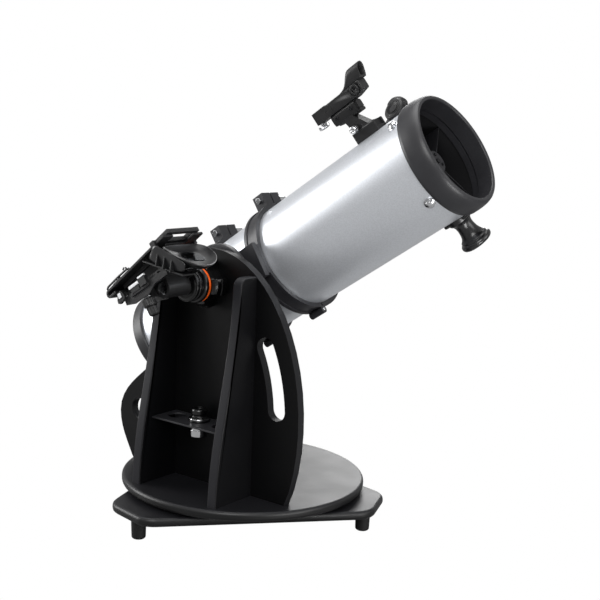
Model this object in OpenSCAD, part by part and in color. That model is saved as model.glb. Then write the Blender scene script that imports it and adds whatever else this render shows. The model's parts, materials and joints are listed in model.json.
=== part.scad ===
// Tabletop dobsonian telescope: a 150 mm f/5 newtonian tube on a single-arm base,
// with an altitude bearing in the arm and a phone dock on the bearing's spindle.
// Millimetres, +Z up. The origin is on the azimuth axis, at the surface under the feet.

/* [Base] */
// Height of a foot, from the surface to the ground board
foot_h = 38; // [20:1:60]
// Diameter of a foot
foot_d = 26; // [16:1:40]
// Distance from the azimuth axis to a foot
foot_reach = 223; // [190:1:235]
// Direction of the first foot, seen from above
foot_angle = 169.4; // [0:0.1:180]
// Thickness of the ground board and of the turntable
board_t = 16; // [12:1:22]
// Radius along the boards' edges
board_edge_r = 6; // [2:0.5:7]
// Distance from the azimuth axis to the ground board's long sides
ground_side = 168; // [150:1:190]
// Distance from the azimuth axis to the ground board's cut corners
ground_corner = 250; // [240:1:280]
// Radius at the ends of each cut corner
ground_round = 40; // [20:1:50]
// Gap between the two boards
board_gap = 6; // [4:0.5:10]
// Radius of the turntable
turntable_r = 215; // [205:1:240]
// Distance from the azimuth axis to a glide pad
pad_reach = 150; // [90:1:180]
// Radius of a glide pad
pad_r = 14; // [8:1:20]
// Diameter of the pivot bolt
pivot_d = 12; // [8:1:16]
// Outer diameter of the pivot's bush in the turntable
pivot_bush_d = 28; // [22:1:40]

/* [Side arm] */
// Height of the altitude axis
pivot_z = 423; // [400:1:450]
// Distance from the azimuth axis to the arm's outer face
arm_out = 94; // [88:1:110]
// Thickness of the arm's board
arm_t = 15; // [12:0.5:20]
// Height of the top of the arm above the altitude axis
arm_top = 56; // [48:1:70]
// Height at which the arm's front edge lies farthest forward
arm_wide_z = 205; // [190:1:230]
// Reach of the arm's front edge at that height
arm_front = 188; // [175:1:205]
// Rounding of the arm's and the ribs' edges
arm_edge_r = 2.5; // [0.5:0.5:5]
// Radius of the round hole in the lobe
lobe_hole_r = 20; // [12:1:26]
// Distance from the azimuth axis back to the lobe's hole
lobe_hole_y = 166; // [150:1:175]
// Height of the lobe's hole
lobe_hole_z = 175.5; // [150:0.5:190]
// Width of the curved handle slot
slot_w = 34; // [26:1:38]
// Distance from the arm's front edge to the slot's centre line
slot_inset = 44; // [36:1:60]
// Distance between the two ribs' centre planes
rib_pitch = 171.4; // [160:0.2:185]
// Thickness of a rib
rib_t = 18; // [12:1:22]
// Height of the ribs' top above the altitude axis
rib_top = 19; // [5:1:30]
// Reach of a rib at its foot, measured from the azimuth axis
rib_foot = 183; // [165:1:190]
// Reach of a rib at its top, measured from the azimuth axis
rib_head = 132; // [125:1:135]

/* [Tray] */
// Height of the tray's underside
tray_z = 188.5; // [150:0.5:220]
// Thickness of the tray's sheet
tray_t = 3; // [2:0.5:5]
// Reach of the tray's front edge
tray_reach = 154; // [146:1:158]
// Radius of the tray's eyepiece holes
tray_hole_r = 16.2; // [16:0.1:17]
// Distance between neighbouring holes
tray_pitch = 50; // [40:1:52]
// Number of holes
tray_holes = 3; // [1:2:3]

/* [Altitude bearing] */
// Diameter of the altitude spindle
spindle_d = 20; // [14:1:26]
// Outer end of the spindle, from the azimuth axis
spindle_reach = 208; // [200:1:225]
// Outer diameter of the bush in the arm
bush_d = 38; // [30:1:50]
// Radius of the bearing disc inside the arm
disc_r = 62; // [50:1:75]
// Thickness of the bearing disc
disc_t = 12; // [8:1:15]
// Tip radius of the tension knob
knob_r = 40; // [34:1:46]
// Length of the tension knob
knob_l = 26; // [18:1:30]
// Number of lobes on the tension knob
knob_lobes = 7; // [5:1:9]
// Radius of the orange index ring
index_r = 27; // [24:1:32]
// Radius of the dock's hub
hub_r = 25; // [18:1:28]
// Outer end of the dock's hub, from the azimuth axis
hub_reach = 160; // [152:1:163]

/* [Tube] */
// Altitude of the tube as stored
altitude = 33; // [0:1:60]
// Distance from the azimuth plane to the tube's axis
tube_x = 56.6; // [54:0.1:70]
// Outer radius of the tube
tube_r = 91; // [89:0.5:93]
// Wall of the tube
tube_wall = 1; // [0.6:0.1:2]
// Front end of the tube, from the altitude axis
tube_front = 395; // [390:1:420]
// Rear end of the tube, from the altitude axis
tube_rear = 268; // [255:1:290]
// Length of the front end ring in front of the tube's edge line
front_ring_l = 36; // [26:1:44]
// Thickness of the end rings outside the tube
end_ring_t = 5; // [3:0.5:8]
// Radius of the dust cap's seat in the front end ring
front_clear_r = 84; // [80:1:86]
// Length of the rear end ring
rear_ring_l = 25; // [18:1:34]
// Clear radius of the rear end ring
rear_clear_r = 80; // [78:1:84]

/* [Optics] */
// Radius of the primary mirror
mirror_r = 76; // [70:1:77]
// Thickness of the primary mirror
mirror_t = 24; // [15:1:30]
// Radius of curvature of the primary mirror
mirror_curve = 1500; // [1200:10:2000]
// Focuser and diagonal mirror, distance in front of the altitude axis
focus_s = 320; // [300:1:325]
// Radius of the diagonal mirror across its short axis
diagonal_r = 20; // [15:1:24]
// Middle of the spider, distance in front of the altitude axis
spider_s = 363; // [358:1:368]
// Width of a spider vane along the tube
vane_w = 26; // [16:1:30]
// Thickness of a spider vane
vane_t = 1.2; // [0.8:0.2:2]
// Radius of the spider's hub
spider_hub_r = 15; // [12:1:18]
// Radius of the hub's front cap
hub_cap_r = 18.5; // [16:0.5:22]
// Distance from the tube's axis to a collimation knob
collimation_r = 58; // [50:1:64]
// Diameter of a collimation knob
collimation_d = 22; // [16:1:28]

/* [Focuser] */
// Direction of the focuser round the tube
focus_angle = 60; // [45:1:90]
// Radius of the focuser's housing
housing_r = 25; // [23:1:30]
// Height of the housing above the tube
housing_h = 32; // [26:1:38]
// Outer radius of the draw tube
draw_r = 18.5; // [17.5:0.5:20]
// Top of the draw tube above the tube
draw_top = 48; // [44:1:52]
// Depth of the draw tube inside the tube
draw_depth = 8; // [4:1:12]
// Radius of the eyepiece's barrel
barrel_r = 15.85; // [15.5:0.05:15.9]
// Radius of the eyepiece's grip
eyepiece_r = 17; // [16:0.5:20]
// Top of the eyepiece above the tube
eyepiece_top = 77; // [72:1:90]
// Radius of a focus knob
focus_knob_r = 17; // [12:1:20]
// Height of the focus shaft above the tube
focus_shaft_h = 17; // [16:1:20]

/* [Finder] */
// Direction of the finder round the tube
finder_angle = 104; // [96:1:112]
// Middle of the finder's shoe, in front of the altitude axis
shoe_s = 311; // [305:0.5:320]
// Length of the shoe
shoe_l = 44; // [40:1:50]
// Width of the shoe
shoe_w = 32; // [28:1:36]
// Top of the shoe above the tube
shoe_h = 17; // [14:1:20]
// Underside of the finder's body above the tube
finder_h = 60; // [54:1:66]
// Height of the finder's body
finder_body_h = 19; // [16:1:23]
// Top of the finder's lens head above the tube
finder_head_h = 103; // [98:1:108]
// Width of the finder's body
finder_w = 24; // [22:1:28]
// Rear end of the finder, in front of the altitude axis
finder_rear = 245; // [238:1:252]
// Front end of the finder, in front of the altitude axis
finder_front = 357; // [350:1:364]

/* [Pull handle] */
// Direction of the handle round the tube
handle_angle = -62; // [-80:1:-45]
// Distance of the handle in front of the altitude axis
handle_s = 349; // [340:1:352]
// Height of the handle above the tube
handle_h = 54; // [45:1:62]
// Radius of the handle's cap
handle_cap_r = 26; // [20:1:30]
// Radius of the handle's waist
handle_waist_r = 14; // [10:1:17]
// Radius of the handle's flange
handle_flange_r = 20.5; // [18:0.5:26]

/* [Clamp rings] */
// Middle of the front clamp ring, in front of the altitude axis
clamp_front = 62; // [50:1:75]
// Middle of the rear clamp ring, behind the altitude axis
clamp_rear = 53; // [45:1:75]
// Width of a clamp ring
clamp_w = 30; // [24:1:36]
// Thickness of a clamp ring
clamp_t = 7; // [5:0.5:8]
// Thickness of the felt inside a clamp ring
felt_t = 1.2; // [0.8:0.1:2]
// Width of each ear, along the clamp bolt
ear_w = 21; // [14:1:24]
// Height of the ears above the clamp ring
ear_h = 22; // [18:1:26]
// Diameter of the clamp bolts
clamp_bolt_d = 6; // [5:1:8]
// Thickness of the mounting plate
plate_t = 10; // [8:1:12]
// Width of the mounting plate
plate_w = 60; // [44:1:70]

/* [Phone dock] */
// Middle of the dock, from the azimuth axis
dock_x = 198; // [196:1:206]
// Width of the phone tray
dock_tray_w = 88; // [70:1:92]
// Rear end of the dock's base, behind the altitude axis
dock_rear = 62; // [50:1:70]
// Front end of the dock's base, in front of the altitude axis
dock_front = 44; // [36:1:50]
// Underside of the dock's base above the spindle's axis
dock_lift = 12; // [11:1:14]
// Thickness of the dock's plates
dock_plate_t = 4; // [3:0.5:5]
// Tilt of the phone tray against the tube
tray_tilt = 6; // [4:0.5:7]
// Height of the phone tray above the spindle's axis, over the axis
tray_lift = 46; // [44:1:50]
// Rear end of the phone tray
tray_back = 82; // [74:1:88]
// Front end of the phone tray
tray_fore = 74; // [66:1:80]
// Travel of the cross slide to each side
cross_travel = 5; // [2:1:8]
// Slope of the dock's mirror
mirror_slope = 45; // [40:1:50]
// Radius of the dock's mirror
dock_mirror_r = 19; // [14:1:22]
// Diameter of the dock's adjusting knob
dock_knob_d = 21; // [16:1:24]

/* [Spare eyepiece] */
// Depth of the barrel below the tray's underside
spare_depth = 22; // [15:1:28]
// Height of the body above the tray
spare_h = 22; // [16:1:30]

/* [Fits] */
// Gap between bodies that move past each other
gap = 0.3; // [0.2:0.05:0.5]
// Radial play of a shaft in its bore
running = 0.05; // [0.02:0.01:0.1]

/* [Hidden] */
$fn = 64;

black = [0.09, 0.09, 0.1];
satin = [0.16, 0.16, 0.17];
silver = [0.78, 0.79, 0.81];
chrome = [0.86, 0.87, 0.88];
orange = [0.96, 0.46, 0.16];
bronze = [0.72, 0.55, 0.3];

// ---- Heights of the base ----
ground_top = foot_h + board_t;
deck_z = ground_top + board_gap;
deck_top = deck_z + board_t;
arm_in = arm_out - arm_t;
arm_rise = pivot_z + arm_top - arm_wide_z;

// ---- Outlines ----

function unit(v) = v / norm(v);

// Points of an arc, counted with both its ends
function arc(centre, r, from, to, steps) =
    [for (i = [0:steps]) let (a = from + (to - from) * i / steps) centre + r * [cos(a), sin(a)]];

// Points of a cubic curve after its first one
function curve(a, b, c, d, steps) =
    [for (i = [1:steps]) let (t = i / steps, k = 1 - t)
        k * k * k * a + 3 * k * k * t * b + 3 * k * t * t * c + t * t * t * d];

// The outline drawn inwards by r; it runs anticlockwise
function inset(p, r) = [
    for (i = [0:len(p) - 1])
        let (
            n = len(p),
            before = unit(p[i] - p[(i + n - 1) % n]),
            after = unit(p[(i + 1) % n] - p[i]),
            m = [-before[1] - after[1], before[0] + after[0]]
        )
        p[i] + r * m / (1 + before * after)
];

// A point kept between a lowest and a highest corner
function held(p, low, high) = [for (k = [0, 1]) max(low[k], min(high[k], p[k]))];

// A board of the given outline and thickness, with rounded edges. It is cut square where its
// outline runs past the low or the high corner.
module rounded_board(outline, t, r, steps = 3, low = [-999, -999], high = [999, 999]) {
    n = len(outline);
    rise = [for (j = [0:steps]) 90 * j / steps];
    levels = concat(
        [for (a = rise) [r * (1 - sin(a)), r * (1 - cos(a))]],
        [for (j = [steps:-1:0]) [r * (1 - sin(rise[j])), t - r * (1 - cos(rise[j]))]]
    );
    rows = len(levels);
    points = [for (l = levels) for (p = inset(outline, l[0])) concat(held(p, low, high), l[1])];
    sides = [
        for (j = [0:rows - 2]) for (i = [0:n - 1])
            [j * n + i, (j + 1) * n + i, (j + 1) * n + (i + 1) % n, j * n + (i + 1) % n]
    ];
    bottom = [[for (i = [0:n - 1]) i]];
    top = [[for (i = [n - 1:-1:0]) (rows - 1) * n + i]];
    polyhedron(points, concat(bottom, sides, top), convexity = 8);
}

// A disc with rounded edges, by its radius, thickness and edge radius
module rounded_disc(radius, t, r) {
    rotate_extrude($fn = 128)
        polygon(concat(
            [[0, 0]],
            arc([radius - r, r], r, -90, 0, 5),
            arc([radius - r, t - r], r, 0, 90, 5),
            [[0, t]]
        ));
}

// A straight round bar between two distances from the azimuth plane, on the altitude axis
module on_axis(near, far) {
    translate([-far, 0, pivot_z])
        rotate([0, 90, 0])
            linear_extrude(far - near)
                children();
}

// Places things in the tube's frame: x to the right, y up from the tube, z forward along it
module in_altitude() {
    translate([0, 0, pivot_z])
        rotate([90 - altitude, 0, 0])
            children();
}

module in_tube() {
    in_altitude()
        translate([tube_x, 0, 0])
            children();
}

// Places things on the tube's skin: z runs outwards, x runs back along the tube
module on_skin(angle, s) {
    in_tube()
        translate([0, 0, s])
            rotate([0, 0, angle])
                translate([tube_r, 0, 0])
                    rotate([0, 90, 0])
                        children();
}

// The tube's own cylinder, to seat things on it, in the frame of on_skin
module tube_seat(play = 0.1) {
    translate([-200, 0, -tube_r])
        rotate([0, 90, 0])
            cylinder(h = 400, r = tube_r + play, $fn = 128);
}

module hexagon(across, h) {
    cylinder(h = h, d = across / cos(30), $fn = 6);
}

// ================= Ground =================

feet_angles = [for (k = [0:2]) foot_angle + 120 * k];
corner_side = (ground_side - cos(60) * ground_corner) / sin(60);
corner_in = corner_side - ground_round * tan(30);

function turn(p, a) = [p[0] * cos(a) - p[1] * sin(a), p[0] * sin(a) + p[1] * cos(a)];

ground_outline = [
    for (a = feet_angles)
        for (side = [-1, 1])
            for (p = arc([ground_corner - ground_round, side * corner_in], ground_round,
                         side < 0 ? -60 : 0, side < 0 ? 0 : 60, 6))
                if (side < 0 || p[1] > side * corner_in + 0.01) turn(p, a)
];

module ground_board() {
    color(satin)
        difference() {
            translate([0, 0, foot_h])
                rounded_board(ground_outline, board_t, board_edge_r);
            translate([0, 0, foot_h - 1])
                cylinder(h = board_t + 2, d = pivot_d);
        }
}

foot_round = 4;
foot_taper = 1;

module foot() {
    rotate_extrude()
        polygon(concat(
            [[0, 0]],
            arc([foot_d / 2 - foot_taper - foot_round, foot_round], foot_round, -90, 0, 4),
            [[foot_d / 2, foot_h], [0, foot_h]]
        ));
}

module feet() {
    color(black)
        for (a = feet_angles)
            rotate([0, 0, a])
                translate([foot_reach, 0, 0])
                    foot();
}

module glide_pads() {
    color("white")
        for (a = feet_angles)
            rotate([0, 0, a])
                translate([pad_reach, 0, ground_top])
                    cylinder(h = board_gap - gap, r = pad_r);
}

pivot_head_h = 7;
pivot_head_w = 19;
washer_t = 2;
washer_r = 22;
nut_h = 10;

module pivot_bolt() {
    color(chrome)
        union() {
            translate([0, 0, foot_h - pivot_head_h])
                hexagon(pivot_head_w, pivot_head_h);
            translate([0, 0, foot_h - pivot_head_h])
                cylinder(h = pivot_head_h + 2 * board_t + board_gap + gap + washer_t + nut_h + 3,
                         d = pivot_d);
            translate([0, 0, deck_top + gap])
                difference() {
                    cylinder(h = washer_t, r = washer_r);
                    translate([0, 0, -1])
                        cylinder(h = washer_t + 2, d = pivot_d);
                }
        }
}

module pivot_nut() {
    color(black)
        translate([0, 0, deck_top + gap + washer_t])
            difference() {
                hexagon(pivot_head_w, nut_h);
                translate([0, 0, -1])
                    cylinder(h = nut_h + 2, d = pivot_d);
            }
}

// ================= Rocker =================

screw_d = 6;
screw_head_d = 11;
screw_l = 48;

// Where the base screws stand: two under the arm and one under each rib
screw_places = [
    [-(arm_out + arm_in) / 2, -60], [-(arm_out + arm_in) / 2, 60],
    [-arm_out - 40, -rib_pitch / 2], [-arm_out - 40, rib_pitch / 2],
];

module base_screws() {
    color(chrome)
        for (p = screw_places)
            translate([p[0], p[1], deck_z])
                rotate_extrude()
                    polygon([[0, 0], [screw_head_d / 2, 0], [screw_d / 2, (screw_head_d - screw_d) / 2],
                             [screw_d / 2, screw_l], [0, screw_l + 2]]);
}

module turntable() {
    color(satin)
        difference() {
            translate([0, 0, deck_z])
                rounded_disc(turntable_r, board_t, board_edge_r);
            translate([0, 0, deck_z - 1])
                cylinder(h = board_t + 2, d = pivot_bush_d);
            base_screws();
        }
}

module pivot_bush() {
    color(bronze)
        translate([0, 0, deck_z])
            difference() {
                cylinder(h = board_t, d = pivot_bush_d);
                translate([0, 0, -1])
                    cylinder(h = board_t + 2, d = pivot_d + 2 * running);
            }
}

// The front edge is part of an ellipse, up to the rounded head
function arm_edge(a, inset_y, inset_z) =
    [-(arm_front - inset_y) * cos(a), arm_wide_z + (arm_rise - inset_z) * sin(a)];

front_steps = 22;
front_start = asin((deck_top - 4 - arm_wide_z) / arm_rise);
head_stop = 124;
lobe_back = lobe_hole_y + 50;
lobe_top = [lobe_hole_y - 19, lobe_hole_z + 80];
lobe_tip = [lobe_back, lobe_hole_z - 11];
lobe_foot = [lobe_hole_y + 13, deck_top - 4];
head_corner = arm_edge(head_stop, 0, 0);

// Seen along +X: y to the right, z up, so that the front edge is on the left
arm_outline = concat(
    [lobe_foot],
    curve(lobe_foot, [lobe_hole_y + 29, 105], [lobe_back, 130], lobe_tip, 7),
    curve(lobe_tip, [lobe_back, lobe_tip[1] + 40], [lobe_hole_y + 9, lobe_top[1] - 24], lobe_top, 7),
    curve(lobe_top, lobe_top + [-40, 62], head_corner + [26, -30], head_corner, 9),
    [for (i = [1:front_steps]) arm_edge(head_stop + (front_start - head_stop) * i / front_steps, 0, 0)]
);

slot_low = 7;
slot_high = 36;
slot_steps = 8;
slot_rise = slot_inset * 1.4;

function slot_point(i) = arm_edge(slot_low + (slot_high - slot_low) * i / slot_steps, slot_inset, slot_rise);

function slot_side(i, side) =
    let (t = unit(slot_point(min(i + 1, slot_steps)) - slot_point(max(i - 1, 0))))
    slot_point(i) + side * slot_w / 2 * [-t[1], t[0]];

module slot_outline() {
    polygon(concat(
        [for (i = [0:slot_steps]) slot_side(i, 1)],
        [for (i = [slot_steps:-1:0]) slot_side(i, -1)]
    ));
    for (i = [0, slot_steps])
        translate(slot_point(i))
            circle(d = slot_w);
}

module side_arm() {
    color(satin)
        difference() {
            translate([-arm_out, 0, 0])
                rotate([90, 0, 90])
                    linear_extrude(arm_t)
                        difference() {
                            polygon([for (p = arm_outline) held(p, [-999, deck_top], [999, 999])]);
                            slot_outline();
                            translate([lobe_hole_y, lobe_hole_z])
                                circle(r = lobe_hole_r);
                        }
            on_axis(arm_in - 1, arm_out + 1)
                circle(d = bush_d);
            base_screws();
        }
}

rib_corner = 16;

rib_outline = let (
    foot = [-rib_foot, deck_top - 4],
    shoulder = [-rib_head, pivot_z + rib_top - rib_corner],
    crown = [-rib_head + rib_corner, pivot_z + rib_top]
) concat(
    [[-arm_out + 6, deck_top - 4], [-arm_out + 6, pivot_z + rib_top]],
    [crown],
    curve(crown, crown + [-rib_corner * 0.55, 0], shoulder + [0, rib_corner * 0.55], shoulder, 4),
    curve(shoulder, shoulder - [2, 125], foot + [1, 124], foot, 14)
);

module rib() {
    color(satin)
        translate([0, rib_t / 2, 0])
            rotate([90, 0, 0])
                rounded_board(rib_outline, rib_t, arm_edge_r,
                              low = [-999, deck_top], high = [-arm_out, 999]);
}

module front_rib() {
    difference() {
        translate([0, -rib_pitch / 2, 0])
            rib();
        base_screws();
    }
}

module rear_rib() {
    difference() {
        translate([0, rib_pitch / 2, 0])
            rib();
        base_screws();
    }
}

tray_span = rib_pitch - rib_t - 2 * gap;
tray_flange = 14;
tray_hole_x = -(arm_out + 25);

module accessory_tray() {
    color(black)
        difference() {
            union() {
                translate([-tray_reach, -tray_span / 2, tray_z])
                    cube([tray_reach - arm_out, tray_span, tray_t]);
                translate([-arm_out - tray_t, -tray_span / 2, tray_z - tray_flange])
                    cube([tray_t, tray_span, tray_flange + 1]);
            }
            for (i = [0:tray_holes - 1])
                translate([tray_hole_x, (i - (tray_holes - 1) / 2) * tray_pitch, tray_z - 1])
                    cylinder(h = tray_t + 2, r = tray_hole_r);
        }
}

module altitude_bush() {
    color(bronze)
        on_axis(arm_in, arm_out)
            difference() {
                circle(d = bush_d);
                circle(d = spindle_d + 2 * running);
            }
}

// ================= Spare eyepiece =================

spare_shoulder_r = tray_hole_r + 1.3;
spare_neck_r = 12.5;
spare_z = tray_z + tray_t + gap;

module spare_eyepiece() {
    color(black)
        translate([tray_hole_x, 0, spare_z])
            rotate_extrude()
                polygon(concat(
                    [[0, 0], [spare_shoulder_r, 0], [spare_shoulder_r, 5]],
                    arc([spare_neck_r + 1, 9], 3, -60, -10, 2),
                    [[spare_neck_r, 12], [spare_neck_r + 1, spare_h - 3], [spare_neck_r, spare_h - 1],
                     [spare_neck_r - 2, spare_h], [8, spare_h], [6, spare_h - 3], [0, spare_h - 3]]
                ));
}

module spare_barrel() {
    color(chrome)
        translate([tray_hole_x, 0, spare_z])
            mirror([0, 0, 1])
                difference() {
                    cylinder(h = gap + tray_t + spare_depth, r = barrel_r);
                    translate([0, 0, 3])
                        cylinder(h = tray_t + spare_depth, r = barrel_r - 1.2);
                }
}

// ================= Tension knob =================

knob_start = arm_out + gap;
knob_end = knob_start + knob_l;
lobe_r = knob_r * 0.26;

module tension_knob() {
    color(black)
        difference() {
            intersection() {
                on_axis(knob_start, knob_end) {
                    circle(r = knob_r - lobe_r * 0.7);
                    for (i = [0:knob_lobes - 1])
                        rotate(i * 360 / knob_lobes)
                            translate([knob_r - lobe_r, 0])
                                circle(r = lobe_r);
                }
                translate([-knob_start, 0, pivot_z])
                    rotate([0, -90, 0])
                        rounded_disc(knob_r, knob_l, 6);
            }
            on_axis(knob_start - 1, knob_end + 1)
                circle(d = spindle_d + 2 * running);
        }
}

// ================= Cradle =================

disc_out = arm_in - gap;
disc_in = disc_out - disc_t;
plate_in = -tube_x + tube_r + felt_t + gap + clamp_t + 1.1;
plate_out = plate_in + plate_t;
boss_r = 34;

module altitude_disc() {
    color(black)
        difference() {
            union() {
                translate([-disc_out, 0, pivot_z])
                    rotate([0, 90, 0])
                        rounded_disc(disc_r, disc_t, 2);
                on_axis(plate_out, disc_in + 1)
                    circle(r = boss_r);
            }
            on_axis(plate_out - 1, disc_out + 1)
                circle(d = spindle_d);
        }
}

module altitude_spindle() {
    color(chrome)
        on_axis(plate_out, spindle_reach)
            circle(d = spindle_d);
}

module mounting_plate() {
    color(satin)
        in_altitude()
            translate([-plate_out, -plate_w / 2, -clamp_rear - clamp_w / 2])
                cube([plate_t, plate_w, clamp_rear + clamp_front + clamp_w]);
}

clamp_in_r = tube_r + gap + felt_t;
clamp_out_r = clamp_in_r + clamp_t;
channel_w = clamp_w * 0.6;
channel_t = 1.8;
split = 1.5;
bolt_y = clamp_out_r + ear_h * 0.55;
pin_r = 3;
knuckle_r = 6.5;
hinge_y = clamp_out_r + 4.5;

module clamp_section() {
    difference() {
        translate([clamp_in_r, -clamp_w / 2])
            square([clamp_t, clamp_w]);
        translate([clamp_out_r - channel_t, -channel_w / 2])
            square([channel_t + 1, channel_w]);
    }
}

// Both halves of a clamp ring before they are parted, in the ring's own frame
module clamp_ring() {
    rotate_extrude($fn = 128)
        clamp_section();
    difference() {
        translate([-ear_w - split, clamp_in_r + 2, -clamp_w * 0.38])
            cube([2 * (ear_w + split), clamp_t + ear_h - 2, clamp_w * 0.76]);
        cylinder(h = 2 * clamp_w, r = clamp_in_r, center = true, $fn = 128);
    }
}

module clamp_half(side) {
    translate([side < 0 ? -2 * clamp_out_r - split : split, -2 * clamp_out_r, -clamp_w])
        cube([2 * clamp_out_r, 4 * clamp_out_r, 2 * clamp_w]);
}

module knuckle(from, to, play = 0) {
    translate([0, -hinge_y, from])
        cylinder(h = to - from, r = knuckle_r + play);
}

module clamp_bores() {
    translate([0, -hinge_y, -clamp_w])
        cylinder(h = 2 * clamp_w, r = pin_r);
    translate([-2 * ear_w, bolt_y, 0])
        rotate([0, 90, 0])
            cylinder(h = 4 * ear_w, d = clamp_bolt_d);
}

knuckle_gap = 0.3;
knuckle_w = clamp_w / 3;

module clamp_cradle() {
    color(black)
        difference() {
            union() {
                intersection() {
                    clamp_ring();
                    clamp_half(-1);
                }
                translate([-plate_in - tube_x, -plate_w / 2 + 4, -clamp_w / 2])
                    cube([clamp_t - 2, plate_w - 8, clamp_w]);
                knuckle(-clamp_w / 2, -knuckle_w / 2 - knuckle_gap);
                knuckle(knuckle_w / 2 + knuckle_gap, clamp_w / 2);
            }
            cylinder(h = 2 * clamp_w, r = clamp_in_r, center = true, $fn = 128);
            knuckle(-knuckle_w / 2 - knuckle_gap, knuckle_w / 2 + knuckle_gap, knuckle_gap);
            clamp_bores();
        }
}

module clamp_cap() {
    color(black)
        difference() {
            union() {
                intersection() {
                    clamp_ring();
                    clamp_half(1);
                }
                knuckle(-knuckle_w / 2, knuckle_w / 2);
            }
            for (side = [0, 1])
                mirror([0, 0, side])
                    knuckle(knuckle_w / 2, clamp_w / 2 + 1, knuckle_gap);
            clamp_bores();
        }
}

module front_clamp_cradle() {
    in_tube()
        translate([0, 0, clamp_front])
            clamp_cradle();
}

module front_clamp_cap() {
    in_tube()
        translate([0, 0, clamp_front])
            clamp_cap();
}

module rear_clamp_cradle() {
    in_tube()
        translate([0, 0, -clamp_rear])
            clamp_cradle();
}

module rear_clamp_cap() {
    in_tube()
        translate([0, 0, -clamp_rear])
            clamp_cap();
}

module at_clamps() {
    in_tube()
        for (s = [clamp_front, -clamp_rear])
            translate([0, 0, s])
                children();
}

module clamp_felts() {
    color("dimgray")
        at_clamps()
            for (side = [-1, 1])
                intersection() {
                    difference() {
                        cylinder(h = clamp_w - 2, r = clamp_in_r, center = true, $fn = 128);
                        cylinder(h = clamp_w, r = clamp_in_r - felt_t, center = true, $fn = 128);
                    }
                    clamp_half(side);
                }
}

module clamp_pins() {
    color(chrome)
        at_clamps()
            translate([0, -hinge_y, -clamp_w / 2 - 1])
                cylinder(h = clamp_w + 2, r = pin_r);
}

bolt_head_r = clamp_bolt_d * 0.85;
bolt_head_h = 4;
clamp_nut_r = 9;
clamp_nut_h = 20;

module clamp_bolts() {
    color(chrome)
        at_clamps()
            translate([0, bolt_y, 0])
                rotate([0, 90, 0]) {
                    translate([0, 0, -ear_w - split - bolt_head_h])
                        cylinder(h = bolt_head_h, r = bolt_head_r);
                    translate([0, 0, -ear_w - split - 1])
                        cylinder(h = 2 * (ear_w + split) + 2, d = clamp_bolt_d);
                    translate([0, 0, ear_w + split])
                        cylinder(h = clamp_nut_h, r = clamp_nut_r);
                }
}

// ================= Dock =================

hub_start = knob_end + 0.5;
index_start = hub_start + 7;
index_t = 3;

module dock_hub() {
    color(black)
        difference() {
            translate([0, 0, pivot_z])
                rotate([0, -90, 0])
                    rotate_extrude($fn = 96)
                        polygon(concat(
                            [[spindle_d / 2, hub_start], [hub_r, hub_start], [hub_r, index_start],
                             [hub_r - 2, index_start], [hub_r - 2, index_start + index_t],
                             [hub_r, index_start + index_t]],
                            arc([hub_r - 5, hub_reach - 5], 5, 0, 90, 4),
                            [[spindle_d / 2, hub_reach]]
                        ));
        }
}

module index_ring() {
    color(orange)
        on_axis(index_start, index_start + index_t)
            difference() {
                circle(r = index_r, $fn = 96);
                circle(r = hub_r - 2, $fn = 96);
            }
}

dock_w = 2 * (dock_x - hub_reach - 1);
sleeve_r = spindle_d / 2 + 5;
sleeve_l = 50;
deck_lift = dock_lift + dock_plate_t;
knob_x = dock_x + dock_w / 2 - 12;
knob_s = -25;
rail_h = 3;
rail_w = 6;
rail_places = [-dock_rear + 22, dock_front - 24];
knob_screw_r = 3;

module dock_base() {
    color(black)
        in_altitude()
            difference() {
                union() {
                    translate([-dock_x - dock_w / 2, dock_lift, -dock_rear])
                        cube([dock_w, dock_plate_t, dock_rear + dock_front]);
                    for (s = rail_places)
                        translate([-dock_x - dock_w / 2, deck_lift - 1, s])
                            cube([dock_w, rail_h + 1, rail_w]);
                    translate([-hub_reach - gap - sleeve_l, 0, 0])
                        rotate([0, 90, 0])
                            cylinder(h = sleeve_l, r = sleeve_r);
                    translate([-hub_reach - gap - sleeve_l, 0, -sleeve_r])
                        cube([sleeve_l, dock_lift + 1, 2 * sleeve_r]);
                    // Walls along both long sides, lower at the back
                    for (x = [-dock_x - dock_w / 2, -dock_x + dock_w / 2 - 3])
                        translate([x, 0, 0])
                            rotate([0, -90, 180])
                                linear_extrude(3)
                                    polygon([
                                        [-dock_rear, -dock_lift - 1], [-dock_rear, -4], [-44, 2], [-6, 2],
                                        [14, -6], [dock_front, -6], [dock_front, -dock_lift - 1]
                                    ]);
                    translate([-knob_x, 2, knob_s])
                        rotate([-90, 0, 0])
                            cylinder(h = dock_lift, r = 9);
                }
                translate([-hub_reach - sleeve_l - 2, 0, 0])
                    rotate([0, 90, 0])
                        cylinder(h = sleeve_l + 4, d = spindle_d);
                translate([-knob_x, 0, knob_s])
                    rotate([-90, 0, 0])
                        cylinder(h = dock_lift + 20, r = knob_screw_r + running);
            }
}

// The frame of the dock's mirror: z out of the mirror, y down its slope, x across
mirror_top = [53, 50];

module at_mirror() {
    in_altitude()
        translate([-dock_x, mirror_top[1], mirror_top[0]])
            rotate([-mirror_slope, 0, 0])
                mirror([0, 1, 0])
                    children();
}

hood_lip_t = 3;
bowl_r = 70;
bowl_depth = 10;

module hood_lip() {
    hull() {
        for (p = [[-35, 11, 7], [36, 15, 10], [12, 52, 23], [-38, 86, 15], [-41, 45, 8]])
            translate([p[0], p[1]])
                circle(r = p[2], $fn = 32);
    }
}

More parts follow.
